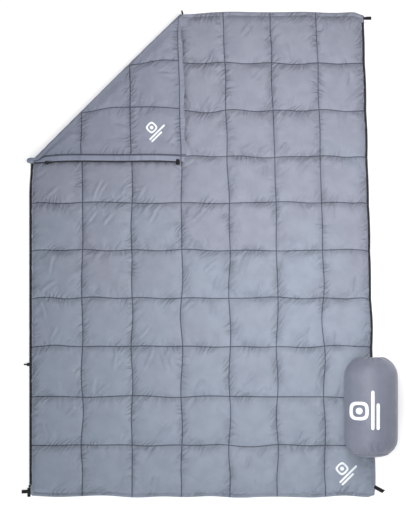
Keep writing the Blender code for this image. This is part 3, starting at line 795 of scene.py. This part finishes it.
def fold_knee():
    """The corner's hem where it rolls round the fold's outer end."""
    turns = np.linspace(-math.pi / 2, math.pi / 2, 15)
    across = np.linspace(-1, 1, 13)
    y = 0.3872 + 0.0118 * across
    full = 1 - across**2
    reach = 0.0095 + 0.0145 * smooth(-0.15, 0.35, across)
    low_leg = [(turns[0], 1.0), (turns[0], 0.5)]
    high_leg = [(turns[-1], 0.5), (turns[-1], 1.0)]
    rings = []
    for turn, leg in low_leg + [(turn, 0) for turn in turns] + high_leg:
        x = -0.6965 + reach * leg - (0.0045 + 0.0125 * np.sqrt(full)) * math.cos(turn)
        x += 0.0008 * math.sin(5 * turn) * full
        z = CORNER_TOP / 2 + (0.0122 + 0.0034 * full - 0.001 * leg) * math.sin(turn)
        rings.append(np.column_stack([x, y, z]))
    points = np.concatenate(rings)
    obj = new_object("fold_knee_cloth", points, grid_faces(len(rings), len(across)), points[:, [1, 0]])
    fix_normals(obj)
    return place(obj, "knee", "hem_fabric")


# Stitching.


def stitch_run(start, end, z, width=0.0011, height=0.0009):
    """Slim raised stitches along a flat line: points and faces."""
    start, end = np.array(start, float), np.array(end, float)
    length = np.linalg.norm(end - start)
    way = (end - start) / length
    across = np.array([-way[1], way[0]])
    inset = 0.004
    count = max(1, int((length - 2 * inset) / STITCH_PITCH))
    centres = inset + (np.arange(count) + 0.5) * (length - 2 * inset) / count
    long, wide = STITCH_PITCH * 0.36, width / 2
    shape = np.array([
        (-long, 0, 0), (-long / 2, wide, 0), (long / 2, wide, 0), (long, 0, 0),
        (long / 2, -wide, 0), (-long / 2, -wide, 0), (-long * 0.45, 0, height), (long * 0.45, 0, height),
    ])
    faces = [(0, 6, 1), (1, 6, 7, 2), (2, 7, 3), (3, 7, 4), (4, 7, 6, 5), (5, 6, 0)]
    base = start + np.outer(centres, way)
    points = base[:, None, :] + shape[None, :, :1] * way + shape[None, :, 1:2] * across
    heights = np.broadcast_to(z + shape[:, 2], points.shape[:2])
    return copies(np.concatenate([points, heights[..., None]], 2), faces, count)


def seam_lines(corner):
    """The seams' flat lines on one side of the diagonal, 12 mm clear of it."""
    lines = []
    for k in range(1, COLUMNS):
        x = -FIELD_X + k * CELL
        cut = x + DIAGONAL
        if corner and cut < FIELD_Y - 0.01:
            lines.append(((x, cut + 0.012), (x, FIELD_Y)))
        if not corner:
            lines.append(((x, -FIELD_Y), (x, min(FIELD_Y, cut - 0.012))))
    for k in range(1, ROWS):
        y = -FIELD_Y + k * CELL
        cut = y - DIAGONAL
        if corner and cut > -FIELD_X + 0.01:
            lines.append(((-FIELD_X, y), (cut - 0.012, y)))
        if not corner:
            lines.append(((max(-FIELD_X, cut + 0.012), y), (FIELD_X, y)))
    return lines


def quilting():
    points, faces = joined([stitch_run(a, b, SEAM_Z - SUNK_STITCH) for a, b in seam_lines(False)])
    obj = new_object("quilting_stitches", lay_main(points, FOLD_TOP_Z), faces)
    place(obj, "thread", "thread", nodes=["right_quilting_thread", "left_quilting_thread"])
    points, faces = joined([stitch_run(a, b, FLAP_HALF_SEAM - SUNK_STITCH) for a, b in seam_lines(True)])
    middle = flap_middle(points[:, 0], points[:, 1])
    for name, side, fold_z, nodes in (
        ("corner_stitches", -1, FOLD_LINING_Z, ["corner_quilting_thread"]),
        ("corner_shell_stitches", 1, FOLD_TOP_Z, []),
    ):
        sewn = np.column_stack([points[:, :2], middle + side * points[:, 2]])
        obj = new_object(name, lay_flap(sewn, fold_z), [face[::side] for face in faces])
        place(obj, "thread", "thread", nodes=nodes)


# Borders. The sections are (outward, z) outlines from a seam.

HEM_SHAPE = [
    (-0.001, 0.0043), (0.0008, 0.0052), (0.0026, 0.0058), (0.0046, 0.0056), (0.0062, 0.0046),
    (0.007, 0.0032), (0.0064, 0.0016), (0.0046, 0.0005), (0.002, 0.0002), (-0.001, 0.0012),
]
ROLLED_SHAPE = [
    (-0.001, 0.0044), (0.0005, 0.0058), (0.0022, 0.006), (0.003, 0.005), (0.0038, 0.006),
    (0.0056, 0.0058), (0.0068, 0.0044), (0.007, 0.003), (0.0064, -0.0006), (0.005, -0.0026),
    (0.0036, -0.0012), (0.0022, -0.0024), (0.0004, -0.0014), (-0.001, 0.001),
]
TAPE_SHAPE = [
    (0.0036, 0.006), (0.005, 0.0063), (0.0066, 0.0056), (0.0084, 0.0044), (0.0104, 0.0038), (0.0122, 0.0035),
    (0.0126, 0.0027), (0.0122, 0.0018), (0.009, 0.0017), (0.0072, 0.0028), (0.0058, 0.005), (0.0044, 0.0056),
]


def line_points(start, end, step=0.006):
    start, end = np.array(start, float), np.array(end, float)
    count = int(np.linalg.norm(end - start) / step) + 2
    return start + np.linspace(0, 1, count)[:, None] * (end - start)


def swept(line, outward, section, widen=1.0, crumple=0.0, seed=0):
    """Rows of points, one for each of the section's own, along a flat line."""
    rows = []
    for k, (out, z) in enumerate(section):
        dz = crumple * waves(line[:, 0], line[:, 1], 0.035, seed + k % 3) * smooth(0.002, 0.005, z)
        rows.append(np.column_stack([line + outward * out * widen, z + dz]))
    return np.concatenate(rows)


def cut_at_fold(points, corner, along_x):
    """Brings points that stray over the fold line back to it, along x or along y."""
    x, y = points[:, 0], points[:, 1]
    slack = 0.0004 * (1 if corner else -1)
    limit = np.minimum if corner == along_x else np.maximum
    if along_x:
        points[:, 0] = limit(x, y - DIAGONAL - slack)
    else:
        points[:, 1] = limit(y, x + DIAGONAL + slack)


def strip(name, points, rows, lay, fold_z=None, flip=False, lift=None):
    """A closed strip from swept points, raised by lift and laid."""
    uv = points[:, :2].copy()
    if lift is not None:
        points = points.copy()
        points[:, 2] += lift(points[:, 0], points[:, 1])
    return new_object(name, lay(points, fold_z), tube_faces(rows, len(points) // rows, flip=flip), uv)


def hem(name, outward, start, end, seed, nodes, body=None, corner=False, crumple=0.0006, bulk=None, rolled=0):
    """An edge's hem from start to end along it; bulk gives its extra width at y, rolled its waves."""
    outward = np.array(outward, float)
    at_end = outward[1] != 0
    edge, along = outward * (FIELD_X, FIELD_Y), np.array([at_end, not at_end], float)
    line = line_points(edge + start * along, edge + end * along)
    section = ROLLED_SHAPE if rolled else HEM_SHAPE
    points = swept(line, outward, section, END_HEM_WIDE if at_end else 1, crumple, seed)
    if bulk:
        points[:, 0] += (points[:, 0] - edge[0]) * bulk(points[:, 1])
    cut_at_fold(points, corner, at_end)
    if rolled:
        x, y = points[:, 0], points[:, 1]
        points[:, 1] += rolled * waves(x, 0 * x, 0.11, 67) * smooth(FIELD_Y, FIELD_Y + 0.006, y)
    lay, lift, look = (lay_flap, above_zip, "corner_hem") if corner else (lay_main, None, "shell")
    flip = outward[1] > outward[0]
    place(strip(name, points, len(section), lay, FOLD_MIDDLE_Z, flip, lift), look, "hem_fabric", body, nodes)


def past_right_zip(y):
    below = smooth(ZIP_RIGHT_FOOT, ZIP_RIGHT_FOOT - 0.02, y)
    return 1.05 * (below + smooth(ZIP_RIGHT_TOP - 0.003, ZIP_RIGHT_TOP + 0.006, y))


def past_left_zip(y):
    return 0.32 * smooth(ZIP_LEFT_FOOT + 0.006, ZIP_LEFT_FOOT, y)


def over_corner_tape(y):
    return 0.36


def borders():
    inset = 0.004
    foot_nodes = ["right_foot_hem", "left_foot_hem"]
    hem("head_hem_cloth", (0, 1), FOLD_HEAD, EDGE_X - inset, 61, ["right_head_hem"], crumple=0.0007)
    hem("foot_hem_cloth", (0, -1), inset - FIELD_X - HEM_REACH, EDGE_X - 0.001, 62, foot_nodes, crumple=0.0007)
    hem(
        "right_hem_cloth", (1, 0), inset - EDGE_Y, EDGE_Y - inset, 63, ["right_side_hem"], "right_panel",
        bulk=past_right_zip,
    )
    hem(
        "left_hem_cloth", (-1, 0), inset - EDGE_Y, CORNER_FOOT, 64, ["left_side_hem"], "left_panel",
        bulk=past_left_zip,
    )
    hem(
        "corner_side_hem_cloth", (-1, 0), CORNER_FOOT - 0.015, EDGE_Y - inset, 65, ["corner_side_hem"],
        "corner_flap", corner=True, bulk=over_corner_tape,
    )
    hem(
        "corner_head_hem_cloth", (0, 1), -FIELD_X - inset, FOLD_HEAD + 0.015, 66, ["corner_head_hem"],
        "corner_flap", corner=True, crumple=0.0012, rolled=0.0032,
    )


def hem_stitches():
    side, end = FIELD_X + 0.0024, FIELD_Y + 0.004
    right, left = FOLD_X + FOLD_REACH, FOLD_X - FOLD_REACH
    right_lines = [((side, -FIELD_Y), (side, FIELD_Y))]
    right_lines += [((right, y), (FIELD_X, y)) for y in (end, -end)]
    left_lines = [((-side, -FIELD_Y), (-side, CORNER_FOOT - 0.01)), ((-FIELD_X, -end), (left, -end))]
    for half, lines, fold_z in (("right", right_lines, None), ("left", left_lines, FOLD_MIDDLE_Z)):
        points, faces = joined([stitch_run(a, b, HEM_STITCH_Z, width=0.0008) for a, b in lines])
        obj = new_object(f"{half}_hem_stitches", lay_main(points, fold_z), faces)
        place(obj, "thread", "thread", f"{half}_panel")


# Zips.


def teeth(start, end, side):
    """The coil's loops: one small rounded bar across the edge for each."""
    count = int((end - start) / TOOTH_PITCH)
    y = start + (np.arange(count) + 0.5) * (end - start) / count
    around = 6
    outline = ((TEETH_INNER, 0.75), (TEETH_INNER + 0.001, 1.0), (EDGE_X - 0.0007, 1.0), (EDGE_X, 0.55))
    shape = []
    for out, scale in outline:
        for angle in np.arange(around) * FULL_TURN / around:
            shape.append((out, 0.00052 * scale * math.cos(angle), 0.0026 + 0.0013 * scale * math.sin(angle)))
    shape = np.array(shape)
    points = np.empty((count, len(shape), 3))
    points[..., 0] = side * shape[:, 0]
    points[..., 1] = y[:, None] + shape[:, 1]
    points[..., 2] = shape[:, 2]
    faces = [tuple(face) for face in grid_faces(len(outline), around, round_columns=True)]
    faces.append(tuple(range(around))[::-1])
    faces.append(tuple(range(len(shape) - around, len(shape))))
    return copies(points, [face[::-side] for face in faces], count)


def zips():
    for name, foot, under_stop, top, side, lay, body, lift in (
        ("right", ZIP_RIGHT_FOOT, 0, ZIP_RIGHT_TOP, 1, lay_main, "right_panel", None),
        ("left", ZIP_LEFT_FOOT, 0.006, CORNER_FOOT - 0.0105, -1, lay_main, "left_panel", None),
        ("corner", CORNER_FOOT + 0.001, 0, ZIP_LEFT_TOP, -1, lay_flap_zip, "corner_flap", above_zip),
    ):
        line = line_points((side * FIELD_X, foot - under_stop), (side * FIELD_X, top))
        tape = swept(line, np.array([side, 0.0]), TAPE_SHAPE)
        obj = strip(f"{name}_tape_weave", tape, len(TAPE_SHAPE), lay, FOLD_MIDDLE_Z, side < 0, lift)
        place(obj, "tape", "zip_tape", body, [f"{name}_zip_tape"])
        points, faces = teeth(foot, top, side)
        if lift is not None:
            points[:, 2] += lift(points[:, 0], points[:, 1])
        coil = new_object(f"{name}_coil", lay(points, FOLD_MIDDLE_Z), faces)
        place(coil, "teeth", "zip_teeth", body, [f"{name}_zip_teeth"])


# Loops, stops and the other small parts.


def strap_loop(name, start, end, width, high, body, node):
    """A webbing loop lying flat: out on top, round its end and back underneath."""
    start, end = np.array(start, float), np.array(end, float)
    length = np.linalg.norm(end - start)
    way = (end - start) / length
    across = np.array([-way[1], way[0]])
    bend = (high - STRAP_LOW - STRAP_THICK) / 2
    middle = (high + STRAP_LOW) / 2
    straight = np.linspace(0, length - bend - STRAP_THICK / 2, 14)
    path = [(s, middle + bend - 0.0006 * math.sin(math.pi * s / length)) for s in straight]
    for a in np.linspace(math.pi / 2, -math.pi / 2, 9)[1:-1]:
        path.append((straight[-1] + bend * math.cos(a), middle + bend * math.sin(a)))
    path = np.array(path + [(s, middle - bend) for s in straight[::-1]])
    along = np.gradient(path, axis=0)
    along /= np.linalg.norm(along, axis=1, keepdims=True)
    normal = np.stack([-along[:, 1], along[:, 0]], 1)
    half = width / 2 * (0.8 + 0.2 * smooth(0.0, 0.5 * length, path[:, 0]))
    section = [(-1, -0.25), (-0.9, -0.5), (0.9, -0.5), (1, -0.25)]
    section += [(-wide, -up) for wide, up in section]
    rows = []
    for wide, up in section:
        out_z = path + normal * up * STRAP_THICK
        flat = start + out_z[:, :1] * way + (half * wide)[:, None] * across
        rows.append(np.column_stack([flat, out_z[:, 1]]))
    obj = strip(name, np.concatenate(rows), len(section), lay_main)
    fix_normals(obj)
    place(obj, "webbing", "webbing", body, [node])


def clip(name, y_low, y_high, z_low, z_high, node):
    """A small crimped metal clip on the right zip, laid with the cloth."""
    low = (TEETH_INNER - 0.0012, y_low, z_low)
    high = (EDGE_X + 0.0006, y_high, z_high)
    size, middle = np.subtract(high, low), np.add(high, low) / 2
    made = bmesh.new()
    bmesh.ops.create_cube(made, size=1)
    for vert in made.verts:
        vert.co = Vector(np.array(vert.co) * size + middle)
    bmesh.ops.bevel(made, geom=made.edges[:], offset=0.0007, segments=3, profile=0.6, affect="EDGES")
    points = np.array([vert.co[:] for vert in made.verts])
    waist = 1 - 0.12 * hump((points[:, 1] - middle[1]) / (0.18 * size[1]))
    points[:, 2] = middle[2] + (points[:, 2] - middle[2]) * waist
    faces = [[vert.index for vert in face.verts] for face in made.faces]
    made.free()
    place(new_object(name, lay_main(points), faces), "metal", "slider_metal", "right_panel", [node])


def trim():
    sliders = [f"{where}_slider_{part}" for where in ("lower", "upper") for part in ("body", "bail", "pull")]
    for look, names in {
        "metal": ["left_zip_retainer_box", "corner_zip_top_stop"] + sliders,
        "webbing": ["head_fold_loop", "foot_zip_garage", "corner_zip_garage"],
        "sack": ["drawcord_channel"],
        "cord": ["drawcord"],
        "plastic": ["cord_lock_body", "cord_lock_button"],
        "steel": ["cord_lock_spring"],
    }.items():
        for name in names:
            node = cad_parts[name]
            node.data.materials.clear()
            node.data.materials.append(LOOKS[look])
    for name, start, end, width, high, half, node in (
        ("head_corner_loop", (0.7, 0.985), (0.7335, 0.988), 0.016, 0.0062, "right", "head_right_loop"),
        ("foot_corner_loop", (0.699, -0.956), (0.741, -0.9855), 0.017, 0.0062, "right", "foot_right_loop"),
        ("foot_left_corner_loop", (-0.702, -0.983), (-0.735, -0.9836), 0.015, 0.006, "left", "foot_left_loop"),
    ):
        strap_loop(name, start, end, width, high, f"{half}_panel", node)
    clip("right_top_stop_clip", ZIP_RIGHT_TOP, ZIP_RIGHT_TOP + 0.0045, 0.0006, 0.0046, "right_zip_top_stop")
    clip("right_pin", ZIP_RIGHT_FOOT - 0.01, ZIP_RIGHT_FOOT, 0.0012, 0.004, "right_zip_insertion_pin")


# Stuff sack.


def sack_arc(start, end, count, middle, radius=SACK_ROUND):
    """(radius, distance along the sack) on the round of an end, by degrees from its widest."""
    a = np.radians(np.linspace(start, end, count))
    return np.stack([SACK_RADIUS - SACK_ROUND + radius * np.cos(a), middle + radius * np.sin(a)], 1)


def sack_profile():
    """(radius, distance along the sack) from the mouth round to the base seam."""
    mouth = [(0.0218, 0.386), (0.0236, 0.392), (0.0262, 0.3975), (0.0305, 0.401)]
    mouth += [(0.036, 0.4035), (0.046, 0.4062)]
    head = sack_arc(72, 0, 13, SACK_LENGTH - SACK_ROUND)
    points = np.concatenate([mouth, head, sack_arc(0, -57.5, 13, SACK_ROUND)])
    length = np.concatenate([[0], np.cumsum(np.linalg.norm(np.diff(points, axis=0), axis=1))])
    even = np.concatenate([np.linspace(0, 0.12, 34)[:-1], np.linspace(0.12, length[-1], 72)])
    return np.stack([np.interp(even, length, points[:, k]) for k in (0, 1)], 1), even


def sack_world(radius, angle, along):
    x, z = SACK_X + radius * np.cos(angle), SACK_Z + radius * np.sin(angle)
    return np.stack([x, SACK_FOOT_Y + along, z], -1)


def stuff_sack():
    profile, length = sack_profile()
    around = 180
    angle = np.linspace(0, FULL_TURN, around, endpoint=False)
    s, a = np.meshgrid(length, angle, indexing="ij")
    seam = length[-1] - s
    radius = np.repeat(profile[:, :1], around, 1)
    along = np.repeat(profile[:, 1:], around, 1)
    # Gathers at the mouth, small puckers at the base seam, and a slightly lumpy belly.
    turn = angle + 0.1 * np.sin(3 * angle + 1) + 0.06 * np.sin(5 * angle)
    gather = np.sin(19 * turn) + 0.6 * np.sin(31 * turn + 1.3) + 0.4 * np.sin(11 * turn + 0.4)
    fade = smooth(0.105, 0.012, s) * smooth(-0.004, 0.008, s)
    radius += 0.0011 * gather * fade
    along += 0.0016 * gather * fade
    radius -= 0.0006 * np.sin(37 * turn + 0.6) * smooth(0.035, 0.004, seam) * smooth(0, 0.004, seam)
    belly = smooth(0.02, 0.3, s) * smooth(0.02, 0.2, seam)
    radius += belly * (0.001 + 0.0009 * waves(a * 0.6, s, 0.2, 81) * np.sin(a / 2) ** 2)
    points = sack_world(radius, a, along)
    uv = np.stack([a * SACK_RADIUS, s], -1).reshape(-1, 2)
    faces = grid_faces(len(length), around, round_columns=True)[:, ::-1]
    side = new_object("sack_side_cloth", points.reshape(-1, 3), faces, uv)
    points += sack_creases(side, points, a, s, seam)
    points[..., 2] = np.maximum(points[..., 2], SACK_Z - SACK_RADIUS + 0.0008)
    side.data.vertices.foreach_set("co", points.astype(np.float32).ravel())
    side.data.update()
    place(side, "sack", "sack_fabric", "stuff_sack", ["sack_side_panel", "packed_filling"])
    panel = sack_base()
    piping = sack_piping()


def sack_creases(side, points, a, s, seam):
    """The moves of the blown-up side cloth, without its even swell and drift."""
    sewn = np.zeros(s.shape, bool)
    sewn[:2] = True
    sewn[-2:] = True
    moved = blow(side, sewn, pressure=1.6, spare=0.012, frames=SACK_FRAMES, bending=0.3)
    step = moved.reshape(points.shape) - points
    outward = np.stack([np.cos(a), 0 * a, np.sin(a)], -1)
    swell = (step * outward).sum(-1).mean(1)[:, None, None]
    drift = step[..., 1].mean(1)[:, None, None]
    step = step - swell * outward - drift * np.array([0, 1, 0])
    size = np.linalg.norm(step, axis=-1, keepdims=True)
    step *= np.minimum(1, SACK_CREASE / np.maximum(size, 1e-9))
    ends = np.maximum(smooth(0.15, 0.06, s), smooth(0.085, 0.03, seam)) * 0.85 + 0.15
    return step * ends[..., None]


def sack_base():
    around = 120
    angle = np.linspace(0, FULL_TURN, around, endpoint=False)
    flat_radius = SACK_RADIUS - SACK_ROUND
    profile = list(sack_arc(-60, -90, 7, SACK_ROUND))
    profile += [(flat_radius * (1 - k / 8), -0.0006 * math.sin(math.pi * k / 16)) for k in range(1, 8)]
    profile.append((0.0006, -0.0006))
    rings, uvs = [], []
    for radius, along in profile:
        pucker = 0.0007 * np.sin(33 * angle + 2 * np.sin(2 * angle)) * smooth(0.045, 0.075, radius)
        rings.append(sack_world(radius, angle, along + pucker))
        uvs.append(np.stack([radius * np.cos(angle), radius * np.sin(angle)], -1))
    faces = [list(face) for face in grid_faces(len(profile), around, round_columns=True)[:, ::-1]]
    last = (len(profile) - 1) * around
    faces.append(list(range(last, last + around)))
    panel = new_object("sack_base_cloth", np.concatenate(rings), faces, np.concatenate(uvs))
    return place(panel, "sack", "sack_fabric", "stuff_sack", ["sack_base_panel"])


def sack_piping():
    around, rows = 120, 8
    angle = np.linspace(0, FULL_TURN, around, endpoint=False)
    radius, along = sack_arc(-59, -59, 1, SACK_ROUND, SACK_ROUND + 0.0004)[0]
    ripple = 0.0016 * (1 + 0.12 * np.sin(60 * angle))
    rings = []
    for t in np.arange(rows) * FULL_TURN / rows:
        rings.append(sack_world(radius + ripple * math.cos(t), angle, along + ripple * math.sin(t)))
    faces = grid_faces(rows, around, round_rows=True, round_columns=True)[:, ::-1]
    piping = new_object("sack_piping_cord", np.concatenate(rings), faces)
    return place(piping, "sack", "sack_fabric", "stuff_sack", ["sack_base_piping"])


# A plain printed mark: a ring with a disc in it, and two bars.

PRINT_STEP = 0.003


def polar_patch(cx, cy, inner, outer, square):
    """Rings between two radii; square runs from a circle, 2, to a rounded square, 5."""
    count, steps = 72, max(2, int((outer - inner) / PRINT_STEP) + 1)
    angle = np.linspace(0, FULL_TURN, count, endpoint=False)
    bend = (np.abs(np.cos(angle)) ** square + np.abs(np.sin(angle)) ** square) ** (-1 / square)
    rings = []
    for radius in np.linspace(inner, outer, steps):
        rings.append(np.stack([cx + radius * bend * np.cos(angle), cy + radius * bend * np.sin(angle)], -1))
    return np.concatenate(rings), grid_faces(steps, count, round_columns=True)


def bar_patch(cx, cy, length, width):
    """A bar along x with round ends."""
    nx, ny = int(length / PRINT_STEP), max(9, int(width / PRINT_STEP))
    u, v = np.meshgrid(np.linspace(-1, 1, nx), np.linspace(-1, 1, ny))
    ease = np.sqrt(np.clip(1 - v**2, 0, 1)) * width / 2
    x = cx + u * (length / 2 - width / 2) + np.sign(u) * ease * (np.abs(u) > 0.999)
    return np.stack([x, cy + v * width / 2], -1).reshape(-1, 2), grid_faces(ny, nx)


def mark(size):
    """The mark's flat patches; its bars run along x, and size is their length."""
    ring, bar = size * 0.235, size * 0.085
    return joined([
        polar_patch(-size * 0.02, size * 0.4, ring * 0.66, ring, 3.2),
        polar_patch(-size * 0.02, size * 0.4, 0.0004, ring * 0.36, 2.0),
        bar_patch(0, size * 0.06, size, bar),
        bar_patch(-size * 0.16, -size * 0.075, size * 0.68, bar),
    ])


def print_on(name, target, at, degrees, size, body, rise=0.0007):
    """The mark, dropped on a cloth from above and raised off it a little."""
    flat, faces = mark(size)
    angle = math.radians(degrees)
    c, s = math.cos(angle), math.sin(angle)
    mesh = bpy.data.objects[target].data
    tree = BVHTree.FromPolygons([v.co for v in mesh.vertices], [p.vertices for p in mesh.polygons])
    points = []
    for px, py in flat:
        above = Vector((at[0] + c * px - s * py, at[1] + s * px + c * py, 1.0))
        hit, normal, _, _ = tree.ray_cast(above, Vector((0, 0, -1)))
        points.append(hit + normal * (rise if normal.z > 0 else -rise))
    place(new_object(name, np.array(points), faces, flat), "print", "thread", body)


def prints():
    print_on("foot_print", "quilt_top_shell", (0.6165, -0.91), 45, 0.1, "right_panel")
    print_on("corner_print", "corner_lining_cloth", (-0.172, 0.499), 45, 0.088, "corner_flap")
    print_on("sack_print", "sack_side_cloth", (0.713, -0.633), 90, 0.16, "stuff_sack", 0.001)


# Which pieces of the quilt's cloth ride on the turned-back corner; the others are baked in place.


def declare_cloth():
    quilt_hems = ("head_hem_cloth", "foot_hem_cloth")
    for obj in named("quilt_top_shell", "quilt_lining", "quilting_stitches", *quilt_hems):
        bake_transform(obj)
    for obj in named("corner_lining_cloth", "corner_shell_cloth", "corner_stitches", "corner_shell_stitches"):
        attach(obj, "corner_flap")


# Stage, light and camera.


def stage():
    floor = new_object("floor", [(-40, -40, 0), (40, -40, 0), (40, 40, 0), (-40, 40, 0)], [(0, 1, 2, 3)])
    paper = Shader("floor_paper")
    grain = paper.noise(paper.node("ShaderNodeTexCoord").outputs["Object"], 3.0, 3.0)
    floor.data.materials.append(paper.surface({
        "Base Color": paper.mix(grain, (0.5, 0.5, 0.5, 1), (0.54, 0.54, 0.54, 1)),
        "Roughness": 0.9,
        "Specular IOR Level": 0.1,
        "Emission Color": (1, 1, 1, 1),
        "Emission Strength": 0.6,
    }))
    world = bpy.data.worlds.new("studio")
    world.use_nodes = True
    background = world.node_tree.nodes["Background"].inputs
    background["Color"].default_value = (0.955, 0.985, 1.02, 1)
    background["Strength"].default_value = 0.366
    bpy.context.scene.world = world
    area_light("key", (0.38, 0.12, 1.4), (0, 0, 0), (0.75, 2.5), 31, (1.0, 0.98, 0.95))
    area_light("side", (1.9, 0.0, 0.5), (0, 74, 0), (0.5, 1.0), 5.0, (1.0, 0.99, 1.0))
    area_light("fill", (-2.6, -6.6, 3.4), (64, 0, -20), (3.6, 2.0), 226, (0.94, 0.98, 1.0))


def area_light(name, at, degrees, size, power, colour):
    data = bpy.data.lights.new(name, "AREA")
    data.shape = "RECTANGLE"
    data.size, data.size_y = size
    data.energy = power
    data.color = colour
    obj = bpy.data.objects.new(name, data)
    obj.location = at
    obj.rotation_euler = [math.radians(angle) for angle in degrees]
    obj.visible_camera = False
    bpy.context.scene.collection.objects.link(obj)


def camera():
    data = bpy.data.cameras.new("camera")
    data.sensor_width = SENSOR
    data.lens = SENSOR * (CAMERA_HEIGHT - 0.012) / VIEW_HEIGHT
    data.clip_end = 200
    obj = bpy.data.objects.new("camera", data)
    obj.location = (*CAMERA_AT, CAMERA_HEIGHT)
    bpy.context.scene.collection.objects.link(obj)
    bpy.context.scene.camera = obj


camera()
quilt_cloth()
fold_wraps()
quilting()
borders()
hem_stitches()
zips()
trim()
stuff_sack()
prints()
declare_cloth()
stage()
bpy.context.scene.view_settings.view_transform = "Standard"
